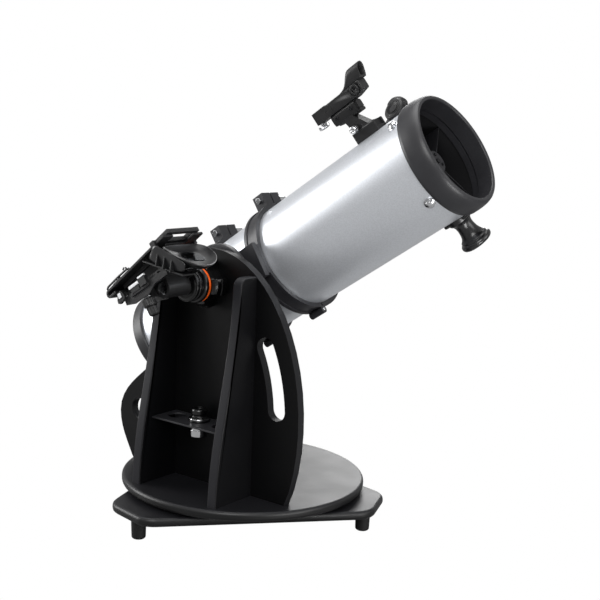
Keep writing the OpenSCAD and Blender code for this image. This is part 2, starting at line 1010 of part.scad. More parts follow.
module mirror_housing() {
    color(black)
        difference() {
            union() {
                at_mirror()
                    translate([0, 0, -hood_lip_t])
                        linear_extrude(hood_lip_t)
                            hood_lip();
                at_mirror()
                    translate([0, 0, -hood_lip_t - 12])
                        linear_extrude(13)
                            translate([0, 38])
                                circle(r = 33);
                in_altitude()
                    translate([-dock_x - 30, 0, 0])
                        rotate([0, -90, 180])
                            linear_extrude(60)
                                polygon([[dock_front, -dock_lift], [dock_front, -40],
                                         [58, -34], [78, -10], [70, -6]]);
            }
            at_mirror()
                translate([0, 38, bowl_r - bowl_depth])
                    sphere(r = bowl_r, $fn = 96);
            at_mirror()
                translate([0, 38, -bowl_depth - 1])
                    cylinder(h = bowl_depth + 2, r = dock_mirror_r);
        }
}

module dock_mirror() {
    color("white")
        at_mirror()
            translate([0, 38, -bowl_depth - 1])
                cylinder(h = 3, r = dock_mirror_r);
}

slide_low = deck_lift + gap;
slide_t = 7;
slide_w = dock_w - 2 * cross_travel - 4;
post_t = 6;
post_x = 18;
post_from = -50;
post_to = 36;
guide_h = 6;
guide_t = 3;

// The frame of the phone tray: x across, y out of the tray, z along it
module in_tray() {
    in_altitude()
        translate([-dock_x, tray_lift, 0])
            rotate([-tray_tilt, 0, 0])
                children();
}

module cross_slide() {
    color(satin)
        difference() {
            in_altitude()
                difference() {
                    union() {
                        translate([-dock_x - slide_w / 2, slide_low, -dock_rear + 4])
                            cube([slide_w, slide_t, dock_rear + dock_front - 8]);
                        for (side = [-1, 1])
                            translate([-dock_x + side * post_x - post_t / 2, slide_low + 1, post_from])
                                cube([post_t, tray_lift, post_to - post_from]);
                    }
                    for (s = rail_places)
                        translate([-dock_x - slide_w / 2 - 1, slide_low - 1, s - gap])
                            cube([slide_w + 2, rail_h + 1, rail_w + 2 * gap]);
                }
            in_tray()
                translate([-dock_tray_w, -gap, -2 * tray_back])
                    cube([2 * dock_tray_w, 2 * tray_lift, 4 * tray_back]);
        }
}

window_w = 46;
window_l = 24;

// The opening that the phone's camera looks through, at the front of the tray
module camera_window(from) {
    translate([-window_w / 2, -1, from])
        cube([window_w, 20, window_l + 20]);
}

lip_r = 7;
lip_l = 14;

module phone_tray() {
    color(black)
        in_tray()
            difference() {
                union() {
                    translate([-dock_tray_w / 2, 0, -tray_back])
                        cube([dock_tray_w, dock_plate_t, tray_back + tray_fore]);
                    for (side = [-1, 1], edge = [-1, 1])
                        translate([side * post_x + edge * (post_t / 2 + gap + guide_t / 2) - guide_t / 2,
                                   -guide_h, -tray_back + 16])
                            cube([guide_t, guide_h + 1, tray_back + post_to - 16]);
                    // The rear edge turns under, and stiffens the tray
                    translate([-dock_tray_w / 2, dock_plate_t - lip_r, -tray_back])
                        rotate([0, 90, 0])
                            difference() {
                                cylinder(h = dock_tray_w, r = lip_r);
                                translate([0, 0, -1])
                                    cylinder(h = dock_tray_w + 2, r = lip_r - dock_plate_t);
                                translate([-2 * lip_r, -2 * lip_r, -1])
                                    cube([2 * lip_r, 4 * lip_r, dock_tray_w + 2]);
                            }
                    translate([-dock_tray_w / 2, dock_plate_t - 2 * lip_r, -tray_back])
                        cube([dock_tray_w, dock_plate_t, lip_l]);
                }
                camera_window(tray_fore - window_l);
            }
}

jaw_l = 34;
jaw_t = 7;
jaw_half = dock_tray_w / 2 - 9;
strap_l = 9;
strap_t = 4;
cheek_t = 3;
jaw_lap = dock_tray_w / 2 + gap;

// A plate over the front of the tray, on a strap that hooks round both of its edges
module phone_jaw() {
    color(satin)
        in_tray()
            translate([0, 0, tray_fore - jaw_l + 4])
                difference() {
                    union() {
                        translate([-jaw_half, dock_plate_t + gap, 1])
                            cube([2 * jaw_half, jaw_t, jaw_l - 1]);
                        translate([-jaw_lap - cheek_t, dock_plate_t + gap, 0])
                            cube([2 * (jaw_lap + cheek_t), strap_t, strap_l]);
                        for (side = [-1, 1])
                            translate([side * (jaw_lap + cheek_t / 2) - cheek_t / 2, -gap - cheek_t, 0])
                                cube([cheek_t, dock_plate_t + 2 * gap + cheek_t + 1, strap_l]);
                        for (side = [-1, 1])
                            translate([side * (jaw_lap - 1) - cheek_t, -gap - cheek_t, 0])
                                cube([2 * cheek_t, cheek_t, strap_l]);
                    }
                    translate([-window_w / 2, -1, strap_l + 1])
                        cube([window_w, 20, jaw_l - strap_l - 8]);
                }
}

knob_head_h = 16;
knob_tail_h = 28;
knob_y = -4;

module dock_knob() {
    color(black)
        in_altitude()
            translate([-knob_x, knob_y, knob_s])
                rotate([90, 0, 0]) {
                    cylinder(h = knob_head_h, d = dock_knob_d);
                    cylinder(h = knob_tail_h, d = dock_knob_d * 0.76);
                    translate([0, 0, knob_y - deck_lift + gap])
                        cylinder(h = deck_lift - gap - knob_y + 1, r = knob_screw_r);
                }
}

// ================= Tube =================

shell_in = tube_r - tube_wall;
focus_hole_r = draw_r + 3;
ring_line = tube_front - 13;
front_end = ring_line + front_ring_l;
rear_end = tube_rear + 7;

module tube_shell() {
    color(silver)
        difference() {
            in_tube()
                translate([0, 0, -tube_rear])
                    difference() {
                        cylinder(h = tube_rear + tube_front, r = tube_r, $fn = 128);
                        translate([0, 0, -1])
                            cylinder(h = tube_rear + tube_front + 2, r = shell_in, $fn = 128);
                    }
            on_skin(focus_angle, focus_s)
                translate([0, 0, -10])
                    cylinder(h = 20, r = focus_hole_r);
        }
}

sleeve_start = spider_s + vane_w / 2 + 1;
sleeve_clear_r = front_clear_r + 2.5;
cap_seat = sleeve_start + 13;

module front_end_ring() {
    outer = tube_r + end_ring_t;
    color(black)
        in_tube()
            rotate_extrude($fn = 128)
                polygon(concat(
                    [[front_clear_r, cap_seat], [sleeve_clear_r, cap_seat - 2], [sleeve_clear_r, sleeve_start],
                     [shell_in, sleeve_start], [shell_in, tube_front],
                     [tube_r, tube_front], [tube_r, ring_line], [outer - 1, ring_line]],
                    arc([outer - 3, ring_line + 5], 3, -30, 0, 2),
                    curve([outer, ring_line + 5], [outer, front_end - 10], [outer - 3, front_end - 2],
                          [front_clear_r + 5, front_end], 7),
                    arc([front_clear_r + 3, front_end - 3], 3, 90, 180, 3)
                ));
}

arm_w = 20;
arm_depth = 8;

module rear_end_ring() {
    outer = tube_r + end_ring_t;
    color(black)
        in_tube()
            difference() {
                union() {
                    rotate_extrude($fn = 128)
                        polygon(concat(
                            [[rear_clear_r, -rear_end], [outer - 5, -rear_end]],
                            arc([outer - 4, -rear_end + 4], 4, -75, 0, 4),
                            [[outer, -rear_end + rear_ring_l - 1], [outer - 1, -rear_end + rear_ring_l],
                             [tube_r, -rear_end + rear_ring_l], [tube_r, -tube_rear],
                             [rear_clear_r, -tube_rear]]
                        ));
                    for (a = collimation_angles)
                        rotate([0, 0, a])
                            translate([0, -arm_w / 2, -rear_end])
                                cube([rear_clear_r + 4, arm_w, arm_depth]);
                    translate([0, 0, -rear_end])
                        cylinder(h = arm_depth, r = 26);
                }
                for (a = collimation_angles)
                    rotate([0, 0, a])
                        translate([collimation_r, 0, -rear_end - 1])
                            cylinder(h = arm_depth + 2, r = collimation_screw_r + running);
            }
}

collimation_angles = [90, 210, 330];
collimation_screw_r = 3;
spring_l = 8;
cell_t = 8;
cell_s = -rear_end + arm_depth + spring_l;
cell_r = mirror_r + 1.5;
cell_pad_t = 2;
mirror_s = cell_s + cell_t + cell_pad_t;

module mirror_cell() {
    color(satin)
        in_tube()
            translate([0, 0, cell_s])
                difference() {
                    union() {
                        cylinder(h = cell_t, r = cell_r, $fn = 128);
                        for (a = collimation_angles)
                            rotate([0, 0, a + 60])
                                translate([mirror_r * 0.6, 0, cell_t - 1])
                                    cylinder(h = cell_pad_t + 1, r = 6);
                    }
                    for (a = collimation_angles)
                        rotate([0, 0, a + 60])
                            translate([mirror_r * 0.42, 0, -1])
                                cylinder(h = cell_t + 2, r = 17);
                    for (a = collimation_angles)
                        rotate([0, 0, a])
                            translate([collimation_r, 0, -1])
                                cylinder(h = cell_t + 2, r = collimation_screw_r + running);
                }
}

module mirror_clips() {
    color(black)
        in_tube()
            for (a = collimation_angles)
                rotate([0, 0, a])
                    translate([0, -8, cell_s + cell_t])
                        difference() {
                            translate([mirror_r - 5, 0, 0])
                                cube([6.4, 16, cell_pad_t + mirror_t + 4]);
                            translate([mirror_r - 6, -1, -1])
                                cube([6.3, 18, cell_pad_t + mirror_t + 1.3]);
                        }
}

module primary_mirror() {
    color([0.8, 0.85, 0.9])
        in_tube()
            translate([0, 0, mirror_s])
                difference() {
                    cylinder(h = mirror_t, r = mirror_r, $fn = 128);
                    translate([0, 0, mirror_t + mirror_curve - sagitta])
                        sphere(r = mirror_curve, $fn = 256);
                }
}

sagitta = mirror_r * mirror_r / (2 * mirror_curve);

module collimation_springs() {
    color(chrome)
        in_tube()
            for (a = collimation_angles)
                rotate([0, 0, a])
                    translate([collimation_r, 0, cell_s - spring_l])
                        difference() {
                            cylinder(h = spring_l, r = collimation_screw_r + 3);
                            translate([0, 0, -1])
                                cylinder(h = spring_l + 2, r = collimation_screw_r + 1);
                        }
}

collimation_knob_h = 14;
flute_r = 2;

module collimation_knob(k) {
    color(black)
        in_tube()
            rotate([0, 0, collimation_angles[k - 1]])
                translate([collimation_r, 0, -rear_end - gap]) {
                    mirror([0, 0, 1])
                        difference() {
                            rounded_disc(collimation_d / 2, collimation_knob_h, 2);
                            for (i = [0:7])
                                rotate([0, 0, 45 * i])
                                    translate([collimation_d / 2 + flute_r * 0.4, 0, 3])
                                        cylinder(h = collimation_knob_h, r = flute_r, $fn = 24);
                        }
                    translate([0, 0, -1])
                        cylinder(h = gap + arm_depth + spring_l + cell_t, r = collimation_screw_r);
                }
}

module collimation_knob_1() collimation_knob(1);
module collimation_knob_2() collimation_knob(2);
module collimation_knob_3() collimation_knob(3);

vane_angles = [45, 135, 225, 315];
hub_back = spider_s - vane_w / 2 - 2;
hub_front = spider_s + vane_w / 2 + 4;
hub_cap_t = 4;

module spider() {
    color(black)
        in_tube() {
            for (a = vane_angles)
                rotate([0, 0, a])
                    translate([spider_hub_r - 2, -vane_t / 2, spider_s - vane_w / 2])
                        cube([shell_in - spider_hub_r + 1.8, vane_t, vane_w]);
            translate([0, 0, hub_back])
                cylinder(h = hub_front - hub_back, r = spider_hub_r);
            translate([0, 0, hub_front - hub_cap_t])
                rounded_disc(hub_cap_r, hub_cap_t, 1.5);
        }
}

spider_nut_r = 7;
spider_nut_h = 6;
spider_nut_s = spider_s + 8;

module spider_nuts() {
    color(chrome)
        for (a = vane_angles)
            difference() {
                on_skin(a, spider_nut_s)
                    translate([0, 0, -1])
                        rounded_disc(spider_nut_r, spider_nut_h + 1, 2.5);
                on_skin(a, spider_nut_s)
                    tube_seat(0);
            }
}

holder_r = diagonal_r - 1.5;
diagonal_t = 5;

// The frame of the diagonal: z along the tube, x towards the focuser, at the optical centre
module at_diagonal() {
    in_tube()
        translate([0, 0, focus_s])
            rotate([0, 0, focus_angle])
                children();
}

module below_diagonal(shift) {
    translate([0, 0, shift])
        rotate([0, -45, 0])
            translate([-4 * diagonal_r, -4 * diagonal_r, -8 * diagonal_r])
                cube([8 * diagonal_r, 8 * diagonal_r, 8 * diagonal_r]);
}

holder_top = hub_back - focus_s - gap;

module diagonal_holder() {
    color(black)
        at_diagonal()
            difference() {
                union() {
                    cylinder(h = holder_top, r = 9);
                    translate([0, 0, -diagonal_r])
                        cylinder(h = diagonal_r + holder_top - 8, r = holder_r);
                }
                below_diagonal(diagonal_t * sqrt(2));
            }
}

module diagonal_mirror() {
    color([0.8, 0.85, 0.9])
        at_diagonal()
            difference() {
                translate([0, 0, -diagonal_r - 1])
                    cylinder(h = 2 * diagonal_r + 4 + diagonal_t * sqrt(2), r = diagonal_r);
                below_diagonal(0);
                translate([0, 0, diagonal_t * sqrt(2)])
                    rotate([0, -45, 0])
                        translate([-4 * diagonal_r, -4 * diagonal_r, 0])
                            cube(8 * diagonal_r);
            }
}

diagonal_screw_r = 2.5;

module diagonal_screws() {
    color(chrome)
        in_tube()
            translate([0, 0, hub_front]) {
                cylinder(h = 2.5, r = 4);
                for (a = [90, 210, 330])
                    rotate([0, 0, a])
                        translate([hub_cap_r * 0.6, 0, 0])
                            cylinder(h = 2, r = diagonal_screw_r);
            }
}

// ================= Focuser =================

base_l = 66;
base_w = 60;
base_h = 10;
shaft_r = 3;
pinion_boss_r = 9;
pinion_boss_l = 62;
shaft_offset = draw_r + shaft_r + 1.5;

module focuser_base() {
    hull() {
        for (x = [-1, 1], y = [-1, 1])
            translate([x * (base_l / 2 - 8), y * (base_w / 2 - 8), -14])
                cylinder(h = 16, r = 8, $fn = 24);
        translate([0, 0, base_h - 1])
            cylinder(h = 1, r = housing_r + 1, $fn = 48);
    }
}

module focuser_body() {
    color(black)
        difference() {
            on_skin(focus_angle, focus_s)
                difference() {
                    union() {
                        focuser_base();
                        cylinder(h = housing_h - 4, r = housing_r);
                        translate([0, 0, housing_h - 5])
                            cylinder(h = 5, r = housing_r - 2);
                        translate([-shaft_offset, pinion_boss_l / 2, focus_shaft_h])
                            rotate([90, 0, 0])
                                cylinder(h = pinion_boss_l, r = pinion_boss_r);
                    }
                    translate([0, 0, -30])
                        cylinder(h = 100, r = draw_r + running);
                    translate([-shaft_offset, pinion_boss_l, focus_shaft_h])
                        rotate([90, 0, 0])
                            cylinder(h = 2 * pinion_boss_l, r = shaft_r + running);
                }
            on_skin(focus_angle, focus_s)
                tube_seat();
        }
}

collar_h = 12;

module draw_tube() {
    color(chrome)
        on_skin(focus_angle, focus_s)
            difference() {
                union() {
                    translate([0, 0, -draw_depth])
                        cylinder(h = draw_top + draw_depth, r = draw_r);
                    translate([0, 0, draw_top - 1])
                        cylinder(h = collar_h + 1, r = draw_r - 0.6);
                }
                translate([0, 0, -draw_depth - 1])
                    cylinder(h = draw_top + draw_depth + collar_h + 2, r = barrel_r + running);
                translate([0, 0, draw_top + collar_h / 2])
                    rotate([0, 90, thumb_angle])
                        cylinder(h = 40, r = thumb_r + running);
            }
}

thumb_angle = 200;
thumb_r = 2;
thumb_head_r = 4.5;
thumb_l = 12;

module focuser_screw() {
    color(chrome)
        on_skin(focus_angle, focus_s)
            translate([0, 0, draw_top + collar_h / 2])
                rotate([0, 90, thumb_angle]) {
                    translate([0, 0, barrel_r + running + gap])
                        cylinder(h = thumb_l, r = thumb_r);
                    translate([0, 0, barrel_r + thumb_l - 4])
                        cylinder(h = 8, r = thumb_head_r);
                }
}

focus_knob_l = 14;

module focus_shaft() {
    color(black)
        on_skin(focus_angle, focus_s)
            translate([-shaft_offset, 0, focus_shaft_h])
                rotate([90, 0, 0]) {
                    cylinder(h = pinion_boss_l + 2 * gap + 8, r = shaft_r, center = true);
                    for (side = [0, 1])
                        mirror([0, 0, side])
                            translate([0, 0, pinion_boss_l / 2 + gap])
                                rounded_disc(focus_knob_r, focus_knob_l, 2.5);
                }
}

eyepiece_seat = draw_top + collar_h + gap;
eyepiece_grip = eyepiece_top - eyepiece_seat;

module eyepiece() {
    color(black)
        on_skin(focus_angle, focus_s)
            translate([0, 0, eyepiece_seat])
                rotate_extrude()
                    polygon([
                        [0, -26], [barrel_r, -26], [barrel_r, 0], [eyepiece_r, 0], [eyepiece_r, 3],
                        [eyepiece_r - 1, 5], [eyepiece_r - 1, eyepiece_grip - 4],
                        [eyepiece_r - 2, eyepiece_grip - 1], [eyepiece_r - 4, eyepiece_grip],
                        [10, eyepiece_grip], [7, eyepiece_grip - 4], [0, eyepiece_grip - 4],
                    ]);
}

// ================= Finder =================

shoe_base_h = 6;
foot_gap = 0.2;
foot_top_w = shoe_w - 12;
foot_low_w = shoe_w - 7;
neck_l = 17;
neck_back = 16.5;

// Cross-section of the finder's foot, widened by play
module foot_section(play) {
    polygon([[-foot_low_w / 2 - play, shoe_base_h - play], [foot_low_w / 2 + play, shoe_base_h - play],
             [foot_top_w / 2 + play, shoe_h + 0.01], [-foot_top_w / 2 - play, shoe_h + 0.01]]);
}

// Extrudes a cross-section along the tube between two distances from the altitude axis
module along_tube(from, to) {
    in_tube()
        translate([0, 0, from])
            rotate([0, 0, finder_angle - 90])
                translate([0, tube_r, 0])
                    linear_extrude(to - from)
                        children();
}

shoe_from = shoe_s - shoe_l / 2;
shoe_to = shoe_s + shoe_l / 2;

module finder_shoe() {
    color(black)
        difference() {
            along_tube(shoe_from, shoe_to)
                difference() {
                    polygon([[-shoe_w / 2, -4], [shoe_w / 2, -4], [shoe_w / 2, shoe_h - 2],
                             [shoe_w / 2 - 1.5, shoe_h], [-shoe_w / 2 + 1.5, shoe_h],
                             [-shoe_w / 2, shoe_h - 2]]);
                    foot_section(foot_gap);
                }
            on_skin(finder_angle, shoe_s)
                tube_seat();
        }
}

mount_l = 48;
mount_s = shoe_s - neck_back;
block_r = finder_w / 2 - 0.5;

// Extrudes a side view across the finder: x along the tube, y away from its skin
module across_finder(width) {
    in_tube()
        rotate([0, 0, finder_angle])
            translate([tube_r, -width / 2, 0])
                rotate([-90, -90, 0])
                    linear_extrude(width)
                        children();
}

module finder_mount() {
    color(black) {
        along_tube(shoe_from + 3, shoe_to - 3)
            foot_section(0);
        across_finder(foot_top_w)
            polygon([[shoe_from + 3, shoe_h - 1], [shoe_to - 11, shoe_h - 1],
                     [mount_s + neck_l / 2, finder_h - 17], [mount_s - neck_l / 2, finder_h - 17]]);
        along_tube(mount_s - mount_l / 2, mount_s + mount_l / 2)
            polygon([[-block_r + 2, finder_h - 18], [block_r - 2, finder_h - 18], [block_r, finder_h - 13],
                     [block_r, finder_h - 4], [block_r - 3, finder_h], [-block_r + 3, finder_h],
                     [-block_r, finder_h - 4], [-block_r, finder_h - 13]]);
    }
}

head_l = 26;
head_h = finder_head_h - finder_h;
head_bore_r = 9.5;
head_bore_h = finder_head_h - head_bore_r - 2.5;
nose_s = finder_front - 12;
window_s = finder_front - 18;

// Side view of the finder: x along the tube, y away from it
finder_side = concat(
    [[finder_rear + 4, 0], [nose_s - 18, 0], [nose_s, 4], [nose_s + 1, finder_body_h + 1],
     [finder_front, head_h - 3], [finder_front - 3, head_h], [finder_front - head_l + 4, head_h],
     [finder_front - head_l, head_h - 3]],
    curve([finder_front - head_l, head_h - 3], [finder_front - head_l - 8, finder_body_h + 8],
          [finder_front - head_l - 14, finder_body_h + 2], [finder_front - head_l - 30, finder_body_h], 5),
    [[finder_rear + 5, finder_body_h]],
    curve([finder_rear + 5, finder_body_h], [finder_rear + 1, finder_body_h],
          [finder_rear, finder_body_h - 2], [finder_rear, 6], 3)
);

module finder_body() {
    color(black)
        difference() {
            in_tube()
                rotate([0, 0, finder_angle])
                    translate([tube_r + finder_h, -finder_w / 2, 0])
                        rotate([-90, -90, 0])
                            rounded_side();
            along_tube(window_s, finder_front + 1)
                translate([0, head_bore_h])
                    circle(r = head_bore_r);
        }
}

module rounded_side() {
    rounded_board(finder_side, finder_w, 2.5);
}

module finder_lens() {
    color([0.3, 0.2, 0.3])
        along_tube(window_s, window_s + 3)
            translate([0, head_bore_h])
                circle(r = head_bore_r);
}

// ================= Pull handle =================

module pull_handle() {
    color(black)
        difference() {
            on_skin(handle_angle, handle_s)
                rotate_extrude($fn = 96)
                    polygon(concat(
                        [[0, -8], [handle_flange_r, -8], [handle_flange_r, 5], [handle_flange_r - 2, 8]],
                        curve([handle_flange_r - 2, 8], [handle_waist_r + 1, 9], [handle_waist_r, 14],
                              [handle_waist_r, handle_h * 0.38], 5),
                        curve([handle_waist_r, handle_h * 0.38], [handle_waist_r + 1, handle_h * 0.6],
                              [handle_cap_r - 9, handle_h * 0.66], [handle_cap_r - 4, handle_h * 0.74], 6),
                        arc([handle_cap_r - 5.5, handle_h - 6], 5.5, -70, 110, 9),
                        curve([handle_cap_r - 8, handle_h - 1], [handle_cap_r - 12, handle_h - 6],
                              [6, handle_h - 4], [0, handle_h - 4], 5)
                    ));
            on_skin(handle_angle, handle_s)
                tube_seat();
        }
}

// ================= Parts =================

ground_board();
feet();
glide_pads();
pivot_bolt();
turntable();
pivot_bush();
pivot_nut();
base_screws();
side_arm();
front_rib();
rear_rib();
accessory_tray();
altitude_bush();
spare_eyepiece();
spare_barrel();
tension_knob();
altitude_disc();
altitude_spindle();
mounting_plate();
front_clamp_cradle();
front_clamp_cap();
rear_clamp_cradle();
rear_clamp_cap();
clamp_felts();
clamp_pins();
clamp_bolts();
dock_hub();
index_ring();
dock_base();
mirror_housing();
dock_mirror();
cross_slide();
phone_tray();
phone_jaw();
dock_knob();
tube_shell();
front_end_ring();
rear_end_ring();
mirror_cell();
mirror_clips();
primary_mirror();
collimation_springs();
collimation_knob_1();
collimation_knob_2();
collimation_knob_3();
spider();
spider_nuts();
diagonal_holder();
diagonal_mirror();
diagonal_screws();
focuser_body();
draw_tube();
focus_shaft();
focuser_screw();
eyepiece();
finder_shoe();
finder_mount();
finder_body();
finder_lens();
pull_handle();
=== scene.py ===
# %% [markdown]
# # A tabletop reflector telescope
#
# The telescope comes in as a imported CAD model: every board, ring, knob and mirror is already at its real size and in
# its place. This script never moves those parts. It gives each one the finish of the real thing, softens the edges
# that a mould or a sander would have softened, and adds the small pieces that are too fine for the CAD model.
# The cells run from top to bottom, and each text cell says what comes next and why it is made that way.

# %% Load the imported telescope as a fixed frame
import json
import math

import bmesh
import bpy
from mathutils import Matrix, Vector


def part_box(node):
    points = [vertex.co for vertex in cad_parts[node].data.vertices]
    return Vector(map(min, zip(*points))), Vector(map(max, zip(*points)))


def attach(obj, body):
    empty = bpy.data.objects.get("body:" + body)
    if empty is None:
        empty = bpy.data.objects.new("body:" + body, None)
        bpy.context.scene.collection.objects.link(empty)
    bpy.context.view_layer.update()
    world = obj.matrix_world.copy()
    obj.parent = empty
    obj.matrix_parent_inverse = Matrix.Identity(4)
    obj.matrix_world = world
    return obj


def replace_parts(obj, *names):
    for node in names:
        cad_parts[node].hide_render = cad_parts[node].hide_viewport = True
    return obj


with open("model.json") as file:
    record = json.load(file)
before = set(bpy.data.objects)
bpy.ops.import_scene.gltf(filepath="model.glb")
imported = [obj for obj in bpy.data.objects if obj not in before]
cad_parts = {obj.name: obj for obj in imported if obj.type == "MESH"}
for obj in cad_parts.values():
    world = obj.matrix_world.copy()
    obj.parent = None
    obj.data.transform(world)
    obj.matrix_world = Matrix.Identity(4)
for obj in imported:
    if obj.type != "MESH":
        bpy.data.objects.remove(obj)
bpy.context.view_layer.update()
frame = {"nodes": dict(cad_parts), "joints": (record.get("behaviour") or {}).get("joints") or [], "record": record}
nodes = frame["nodes"]
joints = {joint["name"]: joint for joint in frame["joints"]}

# %% [markdown]
# ## The telescope's own directions
#
# The tube points up and to the front, so pieces on it are easiest to place in the tube's own directions: across it,
# out of its top, and along it. The joints know where the altitude axis and the tube's axis lie, and a 4 by 4 matrix
# made from them turns a point from the tube's directions into the shared frame.

# %% Frames made from the joints
MM = 0.001


def axes_at(origin, x, y, z):
    """A matrix whose columns are three directions and an origin."""
    made = Matrix((x, y, z)).transposed().to_4x4()
    made.translation = origin
    return made


pivot = Vector(joints["altitude"]["pos_m"])
tube_axis = Vector(joints["tube_roll"]["axis"]).normalized()
tube_centre = Vector(joints["tube_roll"]["pos_m"])
across = Vector((1, 0, 0))
above = tube_axis.cross(across)
DOCK = axes_at(Vector((0, pivot.y, pivot.z)), across, above, tube_axis)
ROOM = Matrix.Identity(4)
TUBE_R = 91 * MM


def on_skin(angle, along, radius=TUBE_R):
    """A frame on the tube's skin: z points out of it, x back along the tube and y around it."""
    turn = math.radians(angle)
    out = across * math.cos(turn) + above * math.sin(turn)
    around = above * math.cos(turn) - across * math.sin(turn)
    return axes_at(tube_centre + tube_axis * along + out * radius, -tube_axis, around, out)


print("the tube points", round(math.degrees(math.asin(tube_axis.z)), 1), "degrees above the horizon")

# %% [markdown]
# ## The camera, the floor and the light
#
# The camera looks at the telescope from the front left, a little above the altitude axis. The lens is long, so the
# boards keep their true proportions. The camera stands where it does because of four numbers: its azimuth, its
# height angle, its distance and a small roll. A lens shift frames the telescope without turning the camera.

# %% The portrait camera
camera_azimuth = math.radians(-50.66)
camera_height = math.radians(13.13)
camera_roll = math.radians(1.67)
camera_distance = 1.8
look_at = Vector((0, 0, 0.25))

back = Vector((
    math.sin(camera_azimuth) * math.cos(camera_height),
    -math.cos(camera_azimuth) * math.cos(camera_height),
    math.sin(camera_height),
))
level = Vector((0, 0, 1)).cross(back).normalized()
upright = back.cross(level)
right = level * math.cos(camera_roll) + upright * math.sin(camera_roll)
up = upright * math.cos(camera_roll) - level * math.sin(camera_roll)

camera = bpy.data.objects.new("portrait_camera", bpy.data.cameras.new("portrait_camera"))
camera.matrix_world = axes_at(look_at + back * camera_distance, right, up, back)
camera.data.sensor_width = 36
camera.data.lens = 61.64
camera.data.shift_x = 0.0908
camera.data.shift_y = 0.126
camera.data.clip_end = 50
bpy.context.scene.collection.objects.link(camera)
bpy.context.scene.camera = camera

# %% [markdown]
# The studio is a white sweep with six soft boxes. Black laminate and black castings show only what they reflect, so
# where the boxes stand matters more than how bright they are. One on the left lights the turntable and the knob, a
# weak one in front fills the shadows, and a small one low in front reaches the undersides. One behind on the left
# draws the long highlight along the tube, one behind on the right parts the black rings from each other, and one
# overhead lights the top faces. The background is white to the camera but dim to the reflections, as it is when
# black flags stand round a product.


# %% The studio
def soft_box(name, place, aim, size, watts):
    lamp = bpy.data.lights.new(name, "AREA")
    lamp.shape = "RECTANGLE"
    lamp.size, lamp.size_y = size
    lamp.energy = watts
    box = bpy.data.objects.new(name, lamp)
    box.location = place
    box.rotation_mode = "QUATERNION"
    box.rotation_quaternion = (Vector(aim) - Vector(place)).to_track_quat("-Z", "Y")
    bpy.context.scene.collection.objects.link(box)


soft_box("key_left", (-2.2, -1.2, 1.9), (0, 0, 0.35), (1.3, 1.3), 42)
soft_box("fill_front", (0.4, -2.6, 1.3), (0, 0, 0.35), (1.4, 1.4), 16)
soft_box("low_front", (-0.25, -1.25, 0.13), (-0.1, 0, 0.5), (0.6, 0.24), 6)
soft_box("streak_behind", (-1.1, 2.3, 1.0), (0, -0.1, 0.5), (1.1, 1.6), 44)
soft_box("rim_right", (2.2, 1.0, 1.3), (0, 0, 0.35), (1.0, 1.6), 24)
soft_box("overhead", (0.1, 0.2, 2.6), (0, 0, 0), (1.8, 1.8), 34)

scene = bpy.context.scene
scene.view_settings.view_transform = "Standard"
scene.world = bpy.data.worlds.new("studio")
scene.world.use_nodes = True
world = scene.world.node_tree
world.nodes.clear()


def add(tree, kind, settings=None, **inputs):
    """Adds a node. Settings are its own options; inputs are values or other nodes' outputs, by socket name.

    An underscore in a socket's name stands for a space, and _0, _1 are sockets by number.
    """
    made = tree.nodes.new(kind)
    for name, value in (settings or {}).items():
        setattr(made, name, value)
    for name, value in inputs.items():
        socket = made.inputs[int(name[1:]) if name[1:].isdigit() else name.replace("_", " ")]
        if isinstance(value, bpy.types.NodeSocket):
            tree.links.new(value, socket)
        else:
            socket.default_value = value
    return made


ray = add(world, "ShaderNodeLightPath")
strength = add(world, "ShaderNodeMapRange", Value=ray.outputs["Is Camera Ray"], To_Min=0.42, To_Max=1.0)
sky = add(world, "ShaderNodeBackground", Color=(1, 1, 1, 1), Strength=strength.outputs["Result"])
add(world, "ShaderNodeOutputWorld", Surface=sky.outputs["Background"])

# %% [markdown]
# The floor is one large plane a hair under the feet. It is lit from within, as the paper sweep of a product picture
# is burnt out to white, but only for the camera: the light that it throws back on the telescope is that of grey card,
# which keeps the undersides black.

# %% The floor
floor_mesh = bpy.data.meshes.new("floor")
floor_mesh.from_pydata([(-8, -8, -0.0002), (8, -8, -0.0002), (8, 8, -0.0002), (-8, 8, -0.0002)], [], [(0, 1, 2, 3)])
floor = bpy.data.objects.new("floor", floor_mesh)
scene.collection.objects.link(floor)

# %% [markdown]
# ## Colours and materials
#
# Colours are written as the hex values that a paint chart or a screen shows. Cycles works in linear light, so one
# function turns them. Each material below starts from what the real one is and how its surface was made, and the
# size of every grain or ripple is given in millimetres.


# %% Colour and pattern helpers
def linear(code):
    """An sRGB hex colour such as 'f5762a' as linear red, green, blue and alpha."""
    shown = [int(code[i:i + 2], 16) / 255 for i in (0, 2, 4)]
    return tuple(c / 12.92 if c <= 0.04045 else ((c + 0.055) / 1.055) ** 2.4 for c in shown) + (1.0,)


def new_material(name):
    material = bpy.data.materials.new(name)
    material.use_nodes = True
    material.node_tree.nodes.clear()
    return material, material.node_tree


def per_metre(millimetres):
    """A texture scale whose pattern repeats about every so many millimetres."""
    return 1000 / millimetres


def to_output(tree, shader):
    add(tree, "ShaderNodeOutputMaterial", Surface=shader.outputs[0])


MATERIALS = {}

# %% [markdown]
# **Floor card.** A matt paper sweep, burnt out to white for the camera and grey card for every other ray.

# %% Paper sweep
paper, tree = new_material("paper_sweep")
seen = add(tree, "ShaderNodeLightPath")
card = add(tree, "ShaderNodeBsdfDiffuse", Color=linear("8c8c8c"))
glow = add(tree, "ShaderNodeEmission", Color=(1, 1, 1, 1), Strength=1.0)
to_output(tree, add(tree, "ShaderNodeMixShader", _0=seen.outputs["Is Camera Ray"], _1=card.outputs[0],
                    _2=glow.outputs[0]))
floor.data.materials.append(paper)

